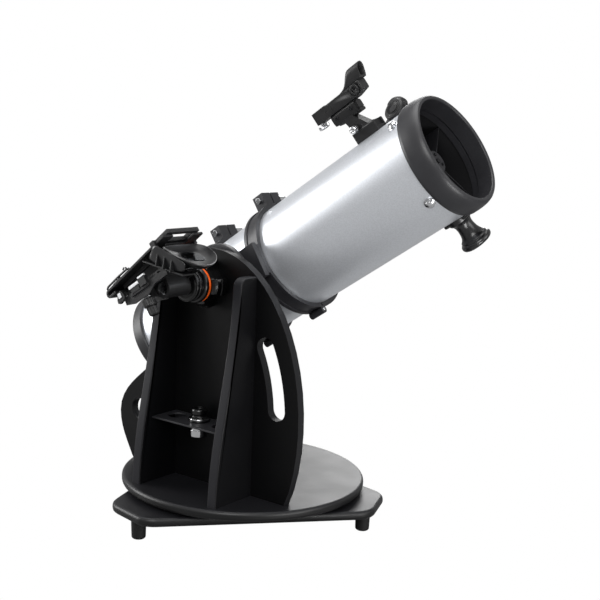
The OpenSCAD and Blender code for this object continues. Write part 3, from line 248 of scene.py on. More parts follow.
# %% [markdown]
# ** Melamine-faced particle board.** The base, the arm and the ribs are black furniture board: melamine paper pressed
# on wood chips against a plate with a fine pearl, with deep black, semi-matt faces. Faces and edges are painted in two
# tones that stand for light. On the upright boards the edges are painted lighter, a painted highlight for the light
# from the front. On the two level boards it is the other way round. Their faces are painted paler, a painted sheen for
# the light from above, and their rims darker, a painted shade. The pearl is about 0.4 mm on the real board, and is
# drawn at 1.6 mm so that it shows. Which face is an edge follows from the direction of the surface's normal against the
# board's thickness.


# %% Melamine board
def melamine_board_painted_light(name, thickness_axis, face_code="060607", edge_code="1a1a1c", gloss=(0.40, 0.46),
                   specular=0.2):
    material, tree = new_material(name)
    where = add(tree, "ShaderNodeTexCoord")
    flatness = add(tree, "ShaderNodeVectorMath", {"operation": "DOT_PRODUCT"},
                   _0=where.outputs["Normal"], _1=thickness_axis)
    level_face = add(tree, "ShaderNodeMath", {"operation": "ABSOLUTE"}, _0=flatness.outputs["Value"])
    face_vs_edge_painted_light = add(tree, "ShaderNodeMapRange", Value=level_face.outputs[0], From_Min=0.35, From_Max=0.85)
    pearl = add(tree, "ShaderNodeTexNoise", Vector=where.outputs["Object"], Scale=per_metre(1.6), Detail=3)
    cloud = add(tree, "ShaderNodeTexNoise", Vector=where.outputs["Object"], Scale=per_metre(70), Detail=4)
    # The edge and face tones mixed here are painted light: a painted highlight on upright edges, a painted sheen and
    # shade on the level boards.
    colour = add(tree, "ShaderNodeMix", {"data_type": "RGBA"}, Factor=face_vs_edge_painted_light.outputs["Result"],
                 _6=linear(edge_code), _7=linear(face_code))
    mottled = add(tree, "ShaderNodeHueSaturation", Color=colour.outputs[2],
                  Value=add(tree, "ShaderNodeMapRange", Value=cloud.outputs["Fac"],
                            From_Min=0.3, From_Max=0.7, To_Min=0.95, To_Max=1.05).outputs["Result"])
    shine = add(tree, "ShaderNodeMapRange", Value=cloud.outputs["Fac"], From_Min=0.3, From_Max=0.7,
                To_Min=gloss[0], To_Max=gloss[1])
    relief = add(tree, "ShaderNodeBump", Strength=0.35, Distance=0.12 * MM, Height=pearl.outputs["Fac"])
    to_output(tree, add(tree, "ShaderNodeBsdfPrincipled", Base_Color=mottled.outputs["Color"],
                        Roughness=shine.outputs["Result"], IOR=1.5, Normal=relief.outputs["Normal"],
                        Specular_IOR_Level=specular))
    return material


# Each board's face and edge codes differ as painted light and shade, not as two colours of the board itself.
MATERIALS["upright_board"] = melamine_board_painted_light("melamine_upright", (1, 0, 0))
MATERIALS["rib_board"] = melamine_board_painted_light("melamine_rib", (0, 1, 0), face_code="08080a", edge_code="222225")
MATERIALS["flat_board"] = melamine_board_painted_light("melamine_flat", (0, 0, 1), face_code="161619", edge_code="0a0a0b",
                                         specular=0.42)

# %% [markdown]
# **Metallic silver paint.** The rolled steel tube is sprayed with aluminium-flake paint under a clear coat. The
# flakes make it a soft mirror, so it needs a metallic base with a broad highlight. The clear coat adds a second,
# sharper one. Flakes are far finer than a pixel, and are drawn as 1.4 mm grains that tilt the normal slightly. The
# inside is flat black against stray light, and the same material holds both: the distance from the tube's axis
# tells the skin from the inside.


# %% Tube paint
def tube_paint():
    material, tree = new_material("silver_flake_paint")
    where = add(tree, "ShaderNodeTexCoord")
    off_centre = add(tree, "ShaderNodeVectorMath", {"operation": "SUBTRACT"},
                     _0=where.outputs["Object"], _1=tube_centre)
    lever = add(tree, "ShaderNodeVectorMath", {"operation": "CROSS_PRODUCT"},
                _0=off_centre.outputs["Vector"], _1=tube_axis)
    reach = add(tree, "ShaderNodeVectorMath", {"operation": "LENGTH"}, _0=lever.outputs["Vector"])
    outside = add(tree, "ShaderNodeMath", {"operation": "GREATER_THAN"},
                  _0=reach.outputs["Value"], _1=TUBE_R - 0.5 * MM)
    flakes = add(tree, "ShaderNodeTexVoronoi", Vector=where.outputs["Object"], Scale=per_metre(1.4))
    grey = add(tree, "ShaderNodeSeparateColor", Color=flakes.outputs["Color"])
    sparkle = add(tree, "ShaderNodeMapRange", Value=grey.outputs["Red"], To_Min=0.93, To_Max=1.04)
    silver = add(tree, "ShaderNodeHueSaturation", Color=linear("dde0e5"), Value=sparkle.outputs["Result"])
    spread = add(tree, "ShaderNodeMapRange", Value=grey.outputs["Green"], To_Min=0.37, To_Max=0.42)
    relief = add(tree, "ShaderNodeBump", Strength=0.03, Distance=0.03 * MM, Height=grey.outputs["Blue"])
    skin = add(tree, "ShaderNodeBsdfPrincipled", Base_Color=silver.outputs["Color"], Metallic=0.74,
               Roughness=spread.outputs["Result"], Normal=relief.outputs["Normal"],
               Coat_Weight=0.2, Coat_Roughness=0.3)
    soot = add(tree, "ShaderNodeTexNoise", Vector=where.outputs["Object"], Scale=per_metre(2.5), Detail=2)
    lining = add(tree, "ShaderNodeBsdfPrincipled", Base_Color=linear("101012"), Roughness=0.8,
                 Specular_IOR_Level=0.25,
                 Normal=add(tree, "ShaderNodeBump", Strength=0.3, Distance=0.1 * MM,
                            Height=soot.outputs["Fac"]).outputs["Normal"])
    to_output(tree, add(tree, "ShaderNodeMixShader", _0=outside.outputs[0], _1=lining.outputs[0],
                        _2=skin.outputs[0]))
    return material


MATERIALS["tube_silver"] = tube_paint()

# %% [markdown]
# **The moulded and coated family.** The telescope's blacks differ mostly in how they shine. Die castings are powder
# coated, with an orange-peel ripple of about 2 mm. Moulded ABS has a spark-eroded grain and a broad sheen. Polished
# ABS mirrors the soft boxes, and comes in three polishes. Rubber hardly shines. The same function makes the orange
# ring, the white pads, the bronze bush and the plated bars. It takes the colour, the range of roughness, and the
# size and depth of the relief.


# %% Blacks and other moulded finishes
def coated(name, code, gloss, grain_mm, depth_mm, coat=0.0, metallic=0.0, specular=0.5, tint=0.08):
    """A solid-coloured finish whose roughness drifts over the surface and whose grain tilts the normal."""
    material, tree = new_material(name)
    where = add(tree, "ShaderNodeTexCoord")
    grain = add(tree, "ShaderNodeTexNoise", Vector=where.outputs["Object"], Scale=per_metre(grain_mm), Detail=2)
    drift = add(tree, "ShaderNodeTexNoise", Vector=where.outputs["Object"], Scale=per_metre(grain_mm * 22),
                Detail=3)
    shine = add(tree, "ShaderNodeMapRange", Value=drift.outputs["Fac"], From_Min=0.3, From_Max=0.7,
                To_Min=gloss[0], To_Max=gloss[1])
    shade = add(tree, "ShaderNodeMapRange", Value=drift.outputs["Fac"], From_Min=0.3, From_Max=0.7,
                To_Min=1 - tint, To_Max=1 + tint)
    colour = add(tree, "ShaderNodeHueSaturation", Color=linear(code), Value=shade.outputs["Result"])
    relief = add(tree, "ShaderNodeBump", Strength=0.4, Distance=depth_mm * MM, Height=grain.outputs["Fac"])
    to_output(tree, add(tree, "ShaderNodeBsdfPrincipled", Base_Color=colour.outputs["Color"],
                        Roughness=shine.outputs["Result"], Normal=relief.outputs["Normal"],
                        Metallic=metallic, IOR=1.5, Specular_IOR_Level=specular,
                        Coat_Weight=coat, Coat_Roughness=0.06))
    return material


MATERIALS["black_cast"] = coated("powder_coated_casting", "232326", (0.38, 0.48), 1.8, 0.10)
MATERIALS["black_plastic"] = coated("grained_abs", "161617", (0.40, 0.50), 1.0, 0.05)
MATERIALS["gloss_black"] = coated("polished_abs", "0b0b0c", (0.12, 0.18), 14, 0.04, coat=0.5)
MATERIALS["knob_black"] = coated("polished_knob_abs", "060607", (0.22, 0.28), 24, 0.02, specular=0.6)
MATERIALS["scoop_black"] = coated("polished_scoop_abs", "101012", (0.26, 0.32), 26, 0.02, specular=0.7)
MATERIALS["foot"] = coated("moulded_rubber", "141414", (0.55, 0.68), 1.2, 0.08, specular=0.35)
MATERIALS["pad"] = coated("white_acetal", "e4e3df", (0.35, 0.45), 2.0, 0.03)
MATERIALS["orange"] = coated("orange_abs", "ff6c1e", (0.32, 0.42), 1.0, 0.03, specular=0.35)
MATERIALS["zinc_plate"] = coated("bright_zinc_plate", "f2f3f5", (0.30, 0.42), 1.4, 0.03, metallic=0.45)
MATERIALS["black_steel"] = coated("black_oxide_steel", "17171a", (0.28, 0.38), 1.0, 0.03, metallic=0.5)
MATERIALS["bush"] = coated("sintered_bronze", "a88650", (0.34, 0.46), 1.0, 0.04, metallic=1.0)

# %% [markdown]
# **Felt.** The clamp rings hold the tube on strips of pressed felt. Felt has no gloss at all, and its loose fibres
# catch light at grazing angles, which is what the sheen lobe is for.

# %% Felt
felt, tree = new_material("pressed_felt")
where = add(tree, "ShaderNodeTexCoord")
fibres = add(tree, "ShaderNodeTexNoise", Vector=where.outputs["Object"], Scale=per_metre(0.9), Detail=6)
matted = add(tree, "ShaderNodeMapRange", Value=fibres.outputs["Fac"], To_Min=0.6, To_Max=1.4)
to_output(tree, add(tree, "ShaderNodeBsdfPrincipled", Roughness=0.95, Sheen_Weight=0.5,
                    Base_Color=add(tree, "ShaderNodeHueSaturation", Color=linear("1a1a1c"),
                                   Value=matted.outputs["Result"]).outputs["Color"],
                    Normal=add(tree, "ShaderNodeBump", Strength=0.8, Distance=0.3 * MM,
                               Height=fibres.outputs["Fac"]).outputs["Normal"]))
MATERIALS["felt"] = felt

# %% [markdown]
# **Bare metals and optics.** Plated nuts and the draw tube are polished, with hairline polishing marks. Turned or
# zinc-plated steel keeps finer, rougher marks. A first-surface mirror is evaporated aluminium on polished glass, so
# it has nearly no roughness at all. The finder's lens is glass with a red-reflecting coating.


# %% Metals
def polished_metal(name, code, gloss, mark_mm):
    material, tree = new_material(name)
    where = add(tree, "ShaderNodeTexCoord")
    stretched = add(tree, "ShaderNodeMapping", Vector=where.outputs["Object"], Scale=(1, 1, 12))
    marks = add(tree, "ShaderNodeTexNoise", Vector=stretched.outputs["Vector"], Scale=per_metre(mark_mm), Detail=4)
    shine = add(tree, "ShaderNodeMapRange", Value=marks.outputs["Fac"], From_Min=0.3, From_Max=0.7,
                To_Min=gloss[0], To_Max=gloss[1])
    relief = add(tree, "ShaderNodeBump", Strength=0.12, Distance=0.02 * MM, Height=marks.outputs["Fac"])
    to_output(tree, add(tree, "ShaderNodeBsdfPrincipled", Base_Color=linear(code), Metallic=1.0,
                        Roughness=shine.outputs["Result"], Normal=relief.outputs["Normal"]))
    return material


MATERIALS["chrome"] = polished_metal("chrome_plate", "dfe0e2", (0.07, 0.13), 3.0)
MATERIALS["bolt_steel"] = polished_metal("zinc_plated_steel", "b9babd", (0.28, 0.38), 1.5)
MATERIALS["mirror"] = polished_metal("front_surface_mirror", "eef0f2", (0.01, 0.015), 60)
# The dock's small mirror is the same polished mirror painted dark grey, as painted shade.
MATERIALS["shaded_mirror"] = polished_metal("mirror_painted_dark_for_shade", "5a5d62", (0.08, 0.12), 60)

# %% Coated lens
lens, tree = new_material("coated_lens")
where = add(tree, "ShaderNodeTexCoord")
bloom = add(tree, "ShaderNodeTexNoise", Vector=where.outputs["Object"], Scale=per_metre(18), Detail=1)
tinted = add(tree, "ShaderNodeMix", {"data_type": "RGBA"}, Factor=bloom.outputs["Fac"],
             _6=linear("3a0f18"), _7=linear("16101f"))
to_output(tree, add(tree, "ShaderNodeBsdfPrincipled", Base_Color=tinted.outputs[2], Roughness=0.03,
                    Transmission_Weight=0.3, Coat_Weight=1.0, Coat_Roughness=0.02))
MATERIALS["lens"] = lens
print(len(MATERIALS), "materials")

# %% [markdown]
# ## The finish on the CAD parts
#
# Every CAD node carries a material slot in the record, and takes the finish of that slot. The boards are told apart
# by the way they stand, and a few mouldings are more polished than their neighbours of the same plastic.

# %% Give every CAD node its finish
OWN_FINISH = {
    "side_arm": "upright_board",
    "front_rib": "rib_board",
    "rear_rib": "rib_board",
    "turntable": "flat_board",
    "ground_board": "flat_board",
    "dock_hub": "knob_black",
    "pull_handle": "scoop_black",
    "diagonal_screws": "black_steel",
    "dock_mirror": "shaded_mirror",
}
for row in frame["record"]["subparts"]:
    name = row["node"]
    material = MATERIALS[OWN_FINISH.get(name, row["material_slot"])]
    nodes[name].data.materials.clear()
    nodes[name].data.materials.append(material)

# %% [markdown]
# CAD edges are perfectly sharp, and a perfectly sharp edge never catches the light. On the real telescope each edge
# has a radius, from 0.3 mm on the orange ring to 1 mm on a foot. Three modifiers add it without touching the CAD
# mesh: one welds the triangles' corners together, one merges flat triangles into whole faces, and the bevel rounds
# whatever is still sharper than 35 degrees.

# %% Soft edges
EDGE_RADII = {
    "black_cast": 0.8, "black_plastic": 0.6, "gloss_black": 0.8, "board": 0.7, "chrome": 0.4, "bolt_steel": 0.4,
    "foot": 1.0, "orange": 0.3,
}


def soften(part, radius_mm):
    """Rounds a CAD node's sharp edges with modifiers; its own mesh stays as it is."""
    weld = part.modifiers.new("weld", "WELD")
    weld.merge_threshold = 0.002 * MM
    flat = part.modifiers.new("flat_faces", "DECIMATE")
    flat.decimate_type = "DISSOLVE"
    flat.angle_limit = math.radians(0.6)
    bevel = part.modifiers.new("edge_radius", "BEVEL")
    bevel.width = radius_mm * MM
    bevel.segments = 2
    bevel.limit_method = "ANGLE"
    bevel.angle_limit = math.radians(35)
    shading = part.modifiers.new("even_shading", "WEIGHTED_NORMAL")
    shading.weight = 60
    shading.keep_sharp = True
    for face in part.data.polygons:
        face.use_smooth = True


for row in frame["record"]["subparts"]:
    radius = EDGE_RADII.get(row["material_slot"])
    if radius:
        soften(nodes[row["node"]], radius)

# %% [markdown]
# ## Tools for making pieces
#
# Most small parts of a telescope are turned or moulded round an axis, so a lathe makes them: a profile of radius and
# height, drawn in millimetres, is turned about z. Each corner of a profile names its own rounding, because that
# radius is what catches the light. Everything else is a flat outline with a thickness. A piece is made at the
# origin, then a frame carries it to its place, and it rides on the CAD body that carries the real one.


# %% Profiles with rounded corners
def rounded(corners, steps=4):
    """Points of a line through (radius, height, rounding) corners, in millimetres."""
    made = []
    for i, (x, y, rounding) in enumerate(corners):
        here = Vector((x, y))
        if rounding == 0 or i in (0, len(corners) - 1):
            made.append(here)
            continue
        before, after = Vector(corners[i - 1][:2]) - here, Vector(corners[i + 1][:2]) - here
        room = 0.49 * min(before.length, after.length)
        before.normalize()
        after.normalize()
        half = before.angle(after) / 2
        reach = min(rounding / math.tan(half), room)
        radius = reach * math.tan(half)
        centre = here + (before + after).normalized() * (radius / math.sin(half))
        start, end = here + before * reach - centre, here + after * reach - centre
        for k in range(steps + 1):
            made.append(centre + start.slerp(end, k / steps) if start.angle(end) > 0.01 else centre + start)
    return made


# %% A lathe, a prism and a helper that seats a piece
def lathe(profile, steps=64, wave=None, ring=False):
    """Turns a profile about z. wave(angle, radius, height) may push a point out or in; ring closes the profile."""
    mesh = bmesh.new()
    rounds = []
    for radius, height in profile:
        if radius < 0.001:
            rounds.append([mesh.verts.new((0, 0, height * MM))])
            continue
        turns = [2 * math.pi * k / steps for k in range(steps)]
        reach = [radius if wave is None else wave(a, radius, height) for a in turns]
        rounds.append([mesh.verts.new((r * math.cos(a) * MM, r * math.sin(a) * MM, height * MM))
                       for a, r in zip(turns, reach)])
    pairs = list(zip(rounds, rounds[1:])) + ([(rounds[-1], rounds[0])] if ring else [])
    for low, high in pairs:
        for k in range(steps):
            n = k + 1
            corners = (low[k % len(low)], low[n % len(low)], high[n % len(high)], high[k % len(high)])
            corners = list(dict.fromkeys(corners))
            if len(corners) > 2:
                mesh.faces.new(corners)
    return mesh


def prism(outline, low, high):
    """A flat outline, in millimetres, given a thickness along z."""
    mesh = bmesh.new()
    floor_ring = [mesh.verts.new((x * MM, y * MM, low * MM)) for x, y in outline]
    roof_ring = [mesh.verts.new((x * MM, y * MM, high * MM)) for x, y in outline]
    mesh.faces.new(list(reversed(floor_ring)))
    mesh.faces.new(roof_ring)
    for k in range(len(outline)):
        n = (k + 1) % len(outline)
        mesh.faces.new((floor_ring[k], floor_ring[n], roof_ring[n], roof_ring[k]))
    return mesh


def at(x, y, z):
    return Matrix.Translation(Vector((x, y, z)) * MM)


def turned(degrees, axis):
    return Matrix.Rotation(math.radians(degrees), 4, axis)


def gather(parts):
    """Several meshes, each with its own place, as one."""
    whole = bmesh.new()
    for mesh, place in parts:
        shape = bpy.data.meshes.new("part")
        mesh.to_mesh(shape)
        shape.transform(place)
        whole.from_mesh(shape)
        mesh.free()
        bpy.data.meshes.remove(shape)
    return whole


def piece(name, mesh, body, slot, place=ROOM, finish=None, edge_mm=0.0, crease=32, smoother=0):
    """Puts a mesh in its place, on its body, with its finish."""
    bmesh.ops.remove_doubles(mesh, verts=mesh.verts, dist=0.001 * MM)
    bmesh.ops.recalc_face_normals(mesh, faces=mesh.faces)
    shape = bpy.data.meshes.new(name)
    mesh.to_mesh(shape)
    mesh.free()
    shape.transform(place)
    if place.determinant() < 0:
        shape.flip_normals()
    shape.materials.append(MATERIALS[finish or slot])
    shape.shade_smooth()
    made = bpy.data.objects.new(name, shape)
    scene.collection.objects.link(made)
    if smoother:
        fine = made.modifiers.new("smoother", "SUBSURF")
        fine.levels = fine.render_levels = smoother
    elif edge_mm:
        bevel = made.modifiers.new("edge_radius", "BEVEL")
        bevel.width = edge_mm * MM
        bevel.segments = 2
        bevel.limit_method = "ANGLE"
        bevel.angle_limit = math.radians(crease)
        made.modifiers.new("even_shading", "WEIGHTED_NORMAL").keep_sharp = True
    else:
        shape.set_sharp_from_angle(angle=math.radians(crease))
    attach(made, body)
    print(name, "has", len(shape.polygons), "faces and rides on", body)
    return made


def carve(target, tool):
    """Cuts one piece out of another and removes the tool."""
    cut = target.modifiers.new("cut", "BOOLEAN")
    cut.object = tool
    cut.operation = "DIFFERENCE"
    cut.solver = "EXACT"
    target.modifiers.move(len(target.modifiers) - 1, 0)
    bpy.context.view_layer.update()
    with bpy.context.temp_override(object=target, active_object=target):
        bpy.ops.object.modifier_apply(modifier=cut.name)
    bpy.data.objects.remove(tool)


def knurl(count, depth, low, high):
    """A wave for the lathe: count flat-topped teeth, depth millimetres deep, between two heights."""
    def wave(angle, radius, height):
        if not low <= height <= high:
            return radius
        return radius - depth * max(0.0, min(1.0, 0.5 + 1.6 * math.sin(angle * count)))
    return wave


# %% [markdown]
# ## Fasteners
#
# The spider's four vanes end in studs, and a chrome cap nut holds each stud from outside the tube. Small pan-head
# screws hold the end rings, at the nuts' four angles in front and at six angles behind. Here they sit under the
# rings. Real pan heads have a cross recess, so the lathe's smooth dome gets a cross cut into it with a boolean.

# %% Cap nuts on the spider's studs
CORNERS = (45, 135, 225, 315)
NUTS_ALONG, FRONT_SCREWS_ALONG, REAR_SCREWS_ALONG = 371, 385, -263
CAP_NUT = rounded([(0, -1, 0), (8.2, -1, 0), (8.2, 0.9, 0.4), (6.8, 1.0, 0.1), (6.8, 4.0, 0.3), (6.2, 6.0, 1.6),
                   (3.0, 7.4, 2.0), (0, 7.6, 0)])
nut_places = [on_skin(angle, NUTS_ALONG * MM) for angle in CORNERS]
cap_nuts = piece("cap_nuts", gather([(lathe(CAP_NUT, 60, knurl(30, 0.35, 1.2, 3.9)), place) for place in nut_places]),
                 "tube", "chrome")
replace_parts(cap_nuts, "spider_nuts")


# %% A pan-head screw with a cross recess
def pan_head(radius, height):
    """A pan head that stands on z = 0, with its shank's first millimetre below."""
    return lathe(rounded([(0, -1, 0), (radius * 0.55, -1, 0), (radius * 0.55, 0, 0), (radius, 0, 0.1),
                          (radius, height * 0.45, height * 0.3), (radius * 0.6, height * 0.95, radius * 0.5),
                          (0, height, 0)]), 24)


def cross_recess(radius, height):
    arm, half = radius * 0.55, radius * 0.13
    outline = [(arm, -half), (arm, half), (half, half), (half, arm), (-half, arm), (-half, half), (-arm, half),
               (-arm, -half), (-half, -half), (-half, -arm), (half, -arm), (half, -half)]
    return prism(outline, height * 0.35, height * 2)


def screws(name, body, slot, places, radius, height):
    """One piece of identical cross-head screws."""
    heads = piece(name, gather([(pan_head(radius, height), place) for place in places]), body, slot)
    tool = piece(name + "_recess", gather([(cross_recess(radius, height), place) for place in places]), body, slot)
    carve(heads, tool)


screws("front_ring_screws", "tube", "black_plastic",
       [on_skin(angle, FRONT_SCREWS_ALONG * MM) for angle in CORNERS], 3.4, 2.2)
screws("rear_ring_screws", "tube", "black_plastic",
       [on_skin(angle, REAR_SCREWS_ALONG * MM) for angle in (30, 90, 150, 210, 270, 330)], 3.2, 2.0)

# %% [markdown]
# ## The reflex finder
#
# The finder is a moulded box with a hooded window at its front, on a foot that slides into a shoe. Its body and hood
# are lofts: rounded rectangles at several places along the tube, skinned from one to the next, because that gives the
# hood its flowing neck without any sculpting. The mouth is cut back at a slant by shifting the last outlines. Side
# details are cut in or laid on: the switch's pocket, the battery cover and its screw.


# %% Lofts and a frame for things that stand on the tube
def box_ring(x, low, high, half, top, bottom, steps=4):
    """A rounded rectangle at one x, in millimetres: y runs from low to high and z from -half to half."""
    ring = []
    corners = ((high - top, half - top, top), (high - top, top - half, top),
               (low + bottom, bottom - half, bottom), (low + bottom, half - bottom, bottom))
    for quarter, (y, z, radius) in enumerate(corners):
        for k in range(steps + 1):
            a = math.radians(90 * (quarter + k / steps))
            ring.append((x, y + radius * math.sin(a), z + radius * math.cos(a)))
    return ring


def loft(rings):
    """Skins outlines that have the same number of points, in millimetres, and closes both ends."""
    mesh = bmesh.new()
    rounds = [[mesh.verts.new(Vector(p) * MM) for p in ring] for ring in rings]
    for low, high in zip(rounds, rounds[1:]):
        for k in range(len(low)):
            n = (k + 1) % len(low)
            mesh.faces.new((low[k], low[n], high[n], high[k]))
    mesh.faces.new(list(reversed(rounds[0])))
    mesh.faces.new(rounds[-1])
    return mesh


def side_view(angle):
    """A frame on the tube's skin, seen from the side: x along the tube, y out of it, z around it."""
    skin = on_skin(angle, 0)
    return axes_at(skin.translation, -skin.col[0].xyz, skin.col[2].xyz, skin.col[1].xyz)


# %% The finder's body and hood
FINDER_ANGLE = 104
FINDER = side_view(FINDER_ANGLE)
SWITCH = (331, 70.6)

body = piece("finder_box", loft([
    box_ring(245.6, 61.6, 78.6, 10.8, 2, 2), box_ring(246.2, 60.8, 79.4, 11.6, 2.4, 2.4),
    box_ring(275, 60.2, 79.5, 11.8, 2.4, 2.4), box_ring(326, 59.6, 79.7, 11.8, 2.4, 2.4),
    box_ring(343.6, 63.2, 80.0, 11.8, 2.2, 2.2), box_ring(344.4, 64.0, 79.4, 11.2, 2, 2)]),
    "finder", "black_plastic", FINDER, crease=24)
carve(body, piece("pocket", gather([
    (lathe([(7.6, 10.6), (9.4, 10.6), (9.4, 14), (7.6, 14)], 48, ring=True), at(*SWITCH, 0)),
    (lathe([(0, 9.0), (1.7, 9.0), (1.7, 14), (0, 14)], 20), at(*SWITCH, 0)),
]), "finder", "black_plastic", FINDER))

NECK = [(306, 79.0, 79.8, 10.2), (311, 79.0, 80.9, 10.4), (315, 79.0, 82.6, 10.6), (318.5, 79.0, 85.4, 10.8),
        (321.8, 79.0, 89.2, 11), (325, 79.0, 94.2, 11), (328, 79.0, 98.6, 11), (331, 79.0, 101.4, 11),
        (334.5, 79.0, 102.8, 11), (340, 79.2, 103, 11), (350, 79.6, 103, 11)]
hood = [box_ring(x, low, high, half, min(9.5, (high - low) * 0.48), min(2.5, (high - low) * 0.3), 8)
        for x, low, high, half in NECK]
MOUTH = (91.2, 357)


def mouth_ring(radius, back):
    """The outline of the hood's mouth drawn in to a circle, on the slanted front plane."""
    ring = []
    for x, y, z in box_ring(0, 80.2, 103, 11, 9.5, 4, 8):
        around = math.atan2(y - MOUTH[0], z)
        if radius:
            y, z = MOUTH[0] + radius * math.sin(around), radius * math.cos(around)
        ring.append((MOUTH[1] - back - 0.3 * (103 - y) * (back < 2), y, z))
    return ring


hood += [mouth_ring(0, 0), mouth_ring(9.9, 0), mouth_ring(9.4, 0.8), mouth_ring(9.3, 16.2)]
piece("finder_hood", loft(hood), "finder", "black_plastic", FINDER, crease=40)
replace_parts(body, "finder_body")
window = piece("finder_window", lathe(rounded([(0, 0, 0), (6, 0.5, 2), (9.25, 1.4, 0), (9.25, 3, 0), (0, 3, 0)]), 48),
               "finder", "lens", FINDER @ at(340.6, MOUTH[0], 0) @ turned(-90, "Y"))
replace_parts(window, "finder_lens")

# %% The finder's battery cover, mount details and screws
cover = [(245.2, 60.4), (271, 60.4)] + [
    (271 + 9.9 * math.sin(math.radians(a)), 70.3 - 9.9 * math.cos(math.radians(a))) for a in range(15, 180, 15)
] + [(271, 80.2), (245.2, 80.2)]
cover = piece("battery_cover", prism(cover, -12.3, 12.3), "finder", "black_plastic", FINDER, edge_mm=0.35)
carve(cover, piece("coin_slot", gather([
    (lathe([(0, 11.4), (1.5, 11.4), (1.5, 13), (0, 13)], 20), at(271, 70.3, 0)),
    (lathe([(0, 11.7), (0.8, 11.7), (0.8, 13), (0, 13)], 16), at(267.5, 70.3, 0)),
]), "finder", "black_plastic", FINDER))
switch_ring = rounded([(4.9, 11.3, 0), (4.9, 12.2, 0.5), (5.6, 12.9, 0.5), (7.0, 12.9, 0.6), (7.6, 12.1, 0.4),
                       (7.6, 11.3, 0)])
piece("switch_ring", lathe(switch_ring, 48, ring=True), "finder", "black_plastic", FINDER @ at(*SWITCH, 0))
DOVETAIL = [(-8, 44.5), (8, 44.5), (9.6, 42), (7.6, 39.4), (-7.6, 39.4), (-9.6, 42)]
ACROSS_TO_X = Matrix(((0, 0, 1, 0), (0, 1, 0, 0), (-1, 0, 0, 0), (0, 0, 0, 1)))
rail = gather([
    (prism(DOVETAIL, 276, 321.4), ACROSS_TO_X),
    (prism([(-8.4, 45), (8.4, 45), (8.4, 55.5), (6, 58), (-6, 58), (-8.4, 55.5)], 317.5, 321.8), ACROSS_TO_X),
    (prism([(-9.6, 46.5), (9.6, 46.5), (9.6, 53), (-9.6, 53)], 313, 320.2), ACROSS_TO_X),
] + [(prism([(-9.9, 39.8), (9.9, 39.8), (9.9, 41.6), (-9.9, 41.6)], s, s + 1.6), ACROSS_TO_X)
     for s in range(280, 320, 4)])
piece("finder_rail", rail, "finder", "black_plastic", FINDER, edge_mm=0.25)
SOCKET = rounded([(0, 1.2, 0), (1.3, 1.2, 0.1), (1.4, 2.0, 0.1), (2.9, 2.1, 0.4), (3.1, 0, 0)])
piece("mount_screws", gather([(lathe(SOCKET, 24), at(309.2, 51.4, 10.2)), (lathe(SOCKET, 24), at(280, 51.6, 10.2))]),
      "finder", "bolt_steel", FINDER, finish="black_steel")

# %% The finder's thumb wheel and the shoe's thumbscrew
WHEEL = rounded([(0, 0, 0), (7.2, 0, 0.5), (8.4, 0.7, 0.2), (8.4, 4.4, 0.2), (7.4, 5.0, 0.4), (3.2, 5.0, 0.2),
                 (3.0, 9, 0), (0, 9, 0)])
piece("finder_wheel", lathe(WHEEL, 96, knurl(32, 0.7, 0.6, 4.5)), "finder", "chrome",
      FINDER @ at(247.4, 52.6, 0) @ turned(-90, "X"))
BOSS = rounded([(0, 0, 0), (7.0, 0, 0), (7.0, 7.2, 0.8), (5.6, 8.0, 0.4), (0, 8.0, 0)])
piece("shoe_boss", lathe(BOSS, 40), "tube", "black_plastic", FINDER @ at(298.5, 20.6, 9))
THUMB = rounded([(0, 0, 0), (2, 0, 0), (2, 1.4, 0), (4.9, 1.6, 0.3), (5.2, 2.2, 0.2), (5.2, 6.6, 0.3), (4.4, 7.4, 0.5),
                 (2.4, 7.0, 0.6), (0, 7.0, 0)])
piece("shoe_thumbscrew", lathe(THUMB, 72, knurl(24, 0.45, 1.8, 6.8)), "tube", "chrome", FINDER @ at(298.5, 20.6, 16.4))

# %% [markdown]
# ## The pull handle, the focuser and the eyepieces
#
# The handle itself is a turned form that the CAD model already has, and a rounded plate spreads its load on the tube.
# The focus knobs have straight ribs for the fingers and a polished disc in each face. The eyepiece's grip is ribbed
# too, and its eye lens sits in a recess with a raised rim round it.

# %% Handle plate and focuser knobs
HANDLE_S, HANDLE_ANGLE = 349, -62
handle = on_skin(HANDLE_ANGLE, HANDLE_S * MM)
piece("handle_plate", loft([box_ring(0, -24, 24, 17, 6, 6), box_ring(3.4, -24, 24, 17, 6, 6),
                            box_ring(4.2, -23.2, 23.2, 16.2, 5.6, 5.6)]), "tube", "gloss_black",
      handle @ turned(-90, "Y") @ turned(90, "X"), edge_mm=0.3)
FOCUS_ANGLE, FOCUS_ALONG = 60, 320
FOCUS = on_skin(FOCUS_ANGLE, FOCUS_ALONG * MM)
SHAFT_BACK, SHAFT_HIGH = -23, 17
GRIP = rounded([(3.2, 0, 0), (15.5, 0, 0.6), (16.4, 0.8, 0.3), (17, 1.6, 0.3), (17, 12.4, 0.3), (16.4, 13.2, 0.3),
                (14.5, 14, 0.5), (12.6, 14, 0.2), (12.4, 13.2, 0.2), (6.2, 13.2, 0.3), (5.8, 14.1, 0.3), (0, 14.1, 0)])
knob_ends = [at(SHAFT_BACK, side * 31.3, SHAFT_HIGH) @ turned(-90 * side, "X") for side in (-1, 1)]
SHAFT = rounded([(0, -33, 0), (3, -33, 0), (3, 33, 0), (0, 33, 0)])
knobs = piece("focus_knobs", gather(
    [(lathe(GRIP, 120, knurl(40, 0.7, 1.4, 12.6)), place) for place in knob_ends]
    + [(lathe(SHAFT, 20), at(SHAFT_BACK, 0, SHAFT_HIGH) @ turned(90, "X"))]), "focus_shaft", "black_plastic", FOCUS)
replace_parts(knobs, "focus_shaft")
CAP = rounded([(0, 0, 0), (12.2, 0, 0), (12.2, 0.9, 0.3), (11.4, 1.2, 0.4), (7, 0.8, 0), (0, 0.8, 0)])
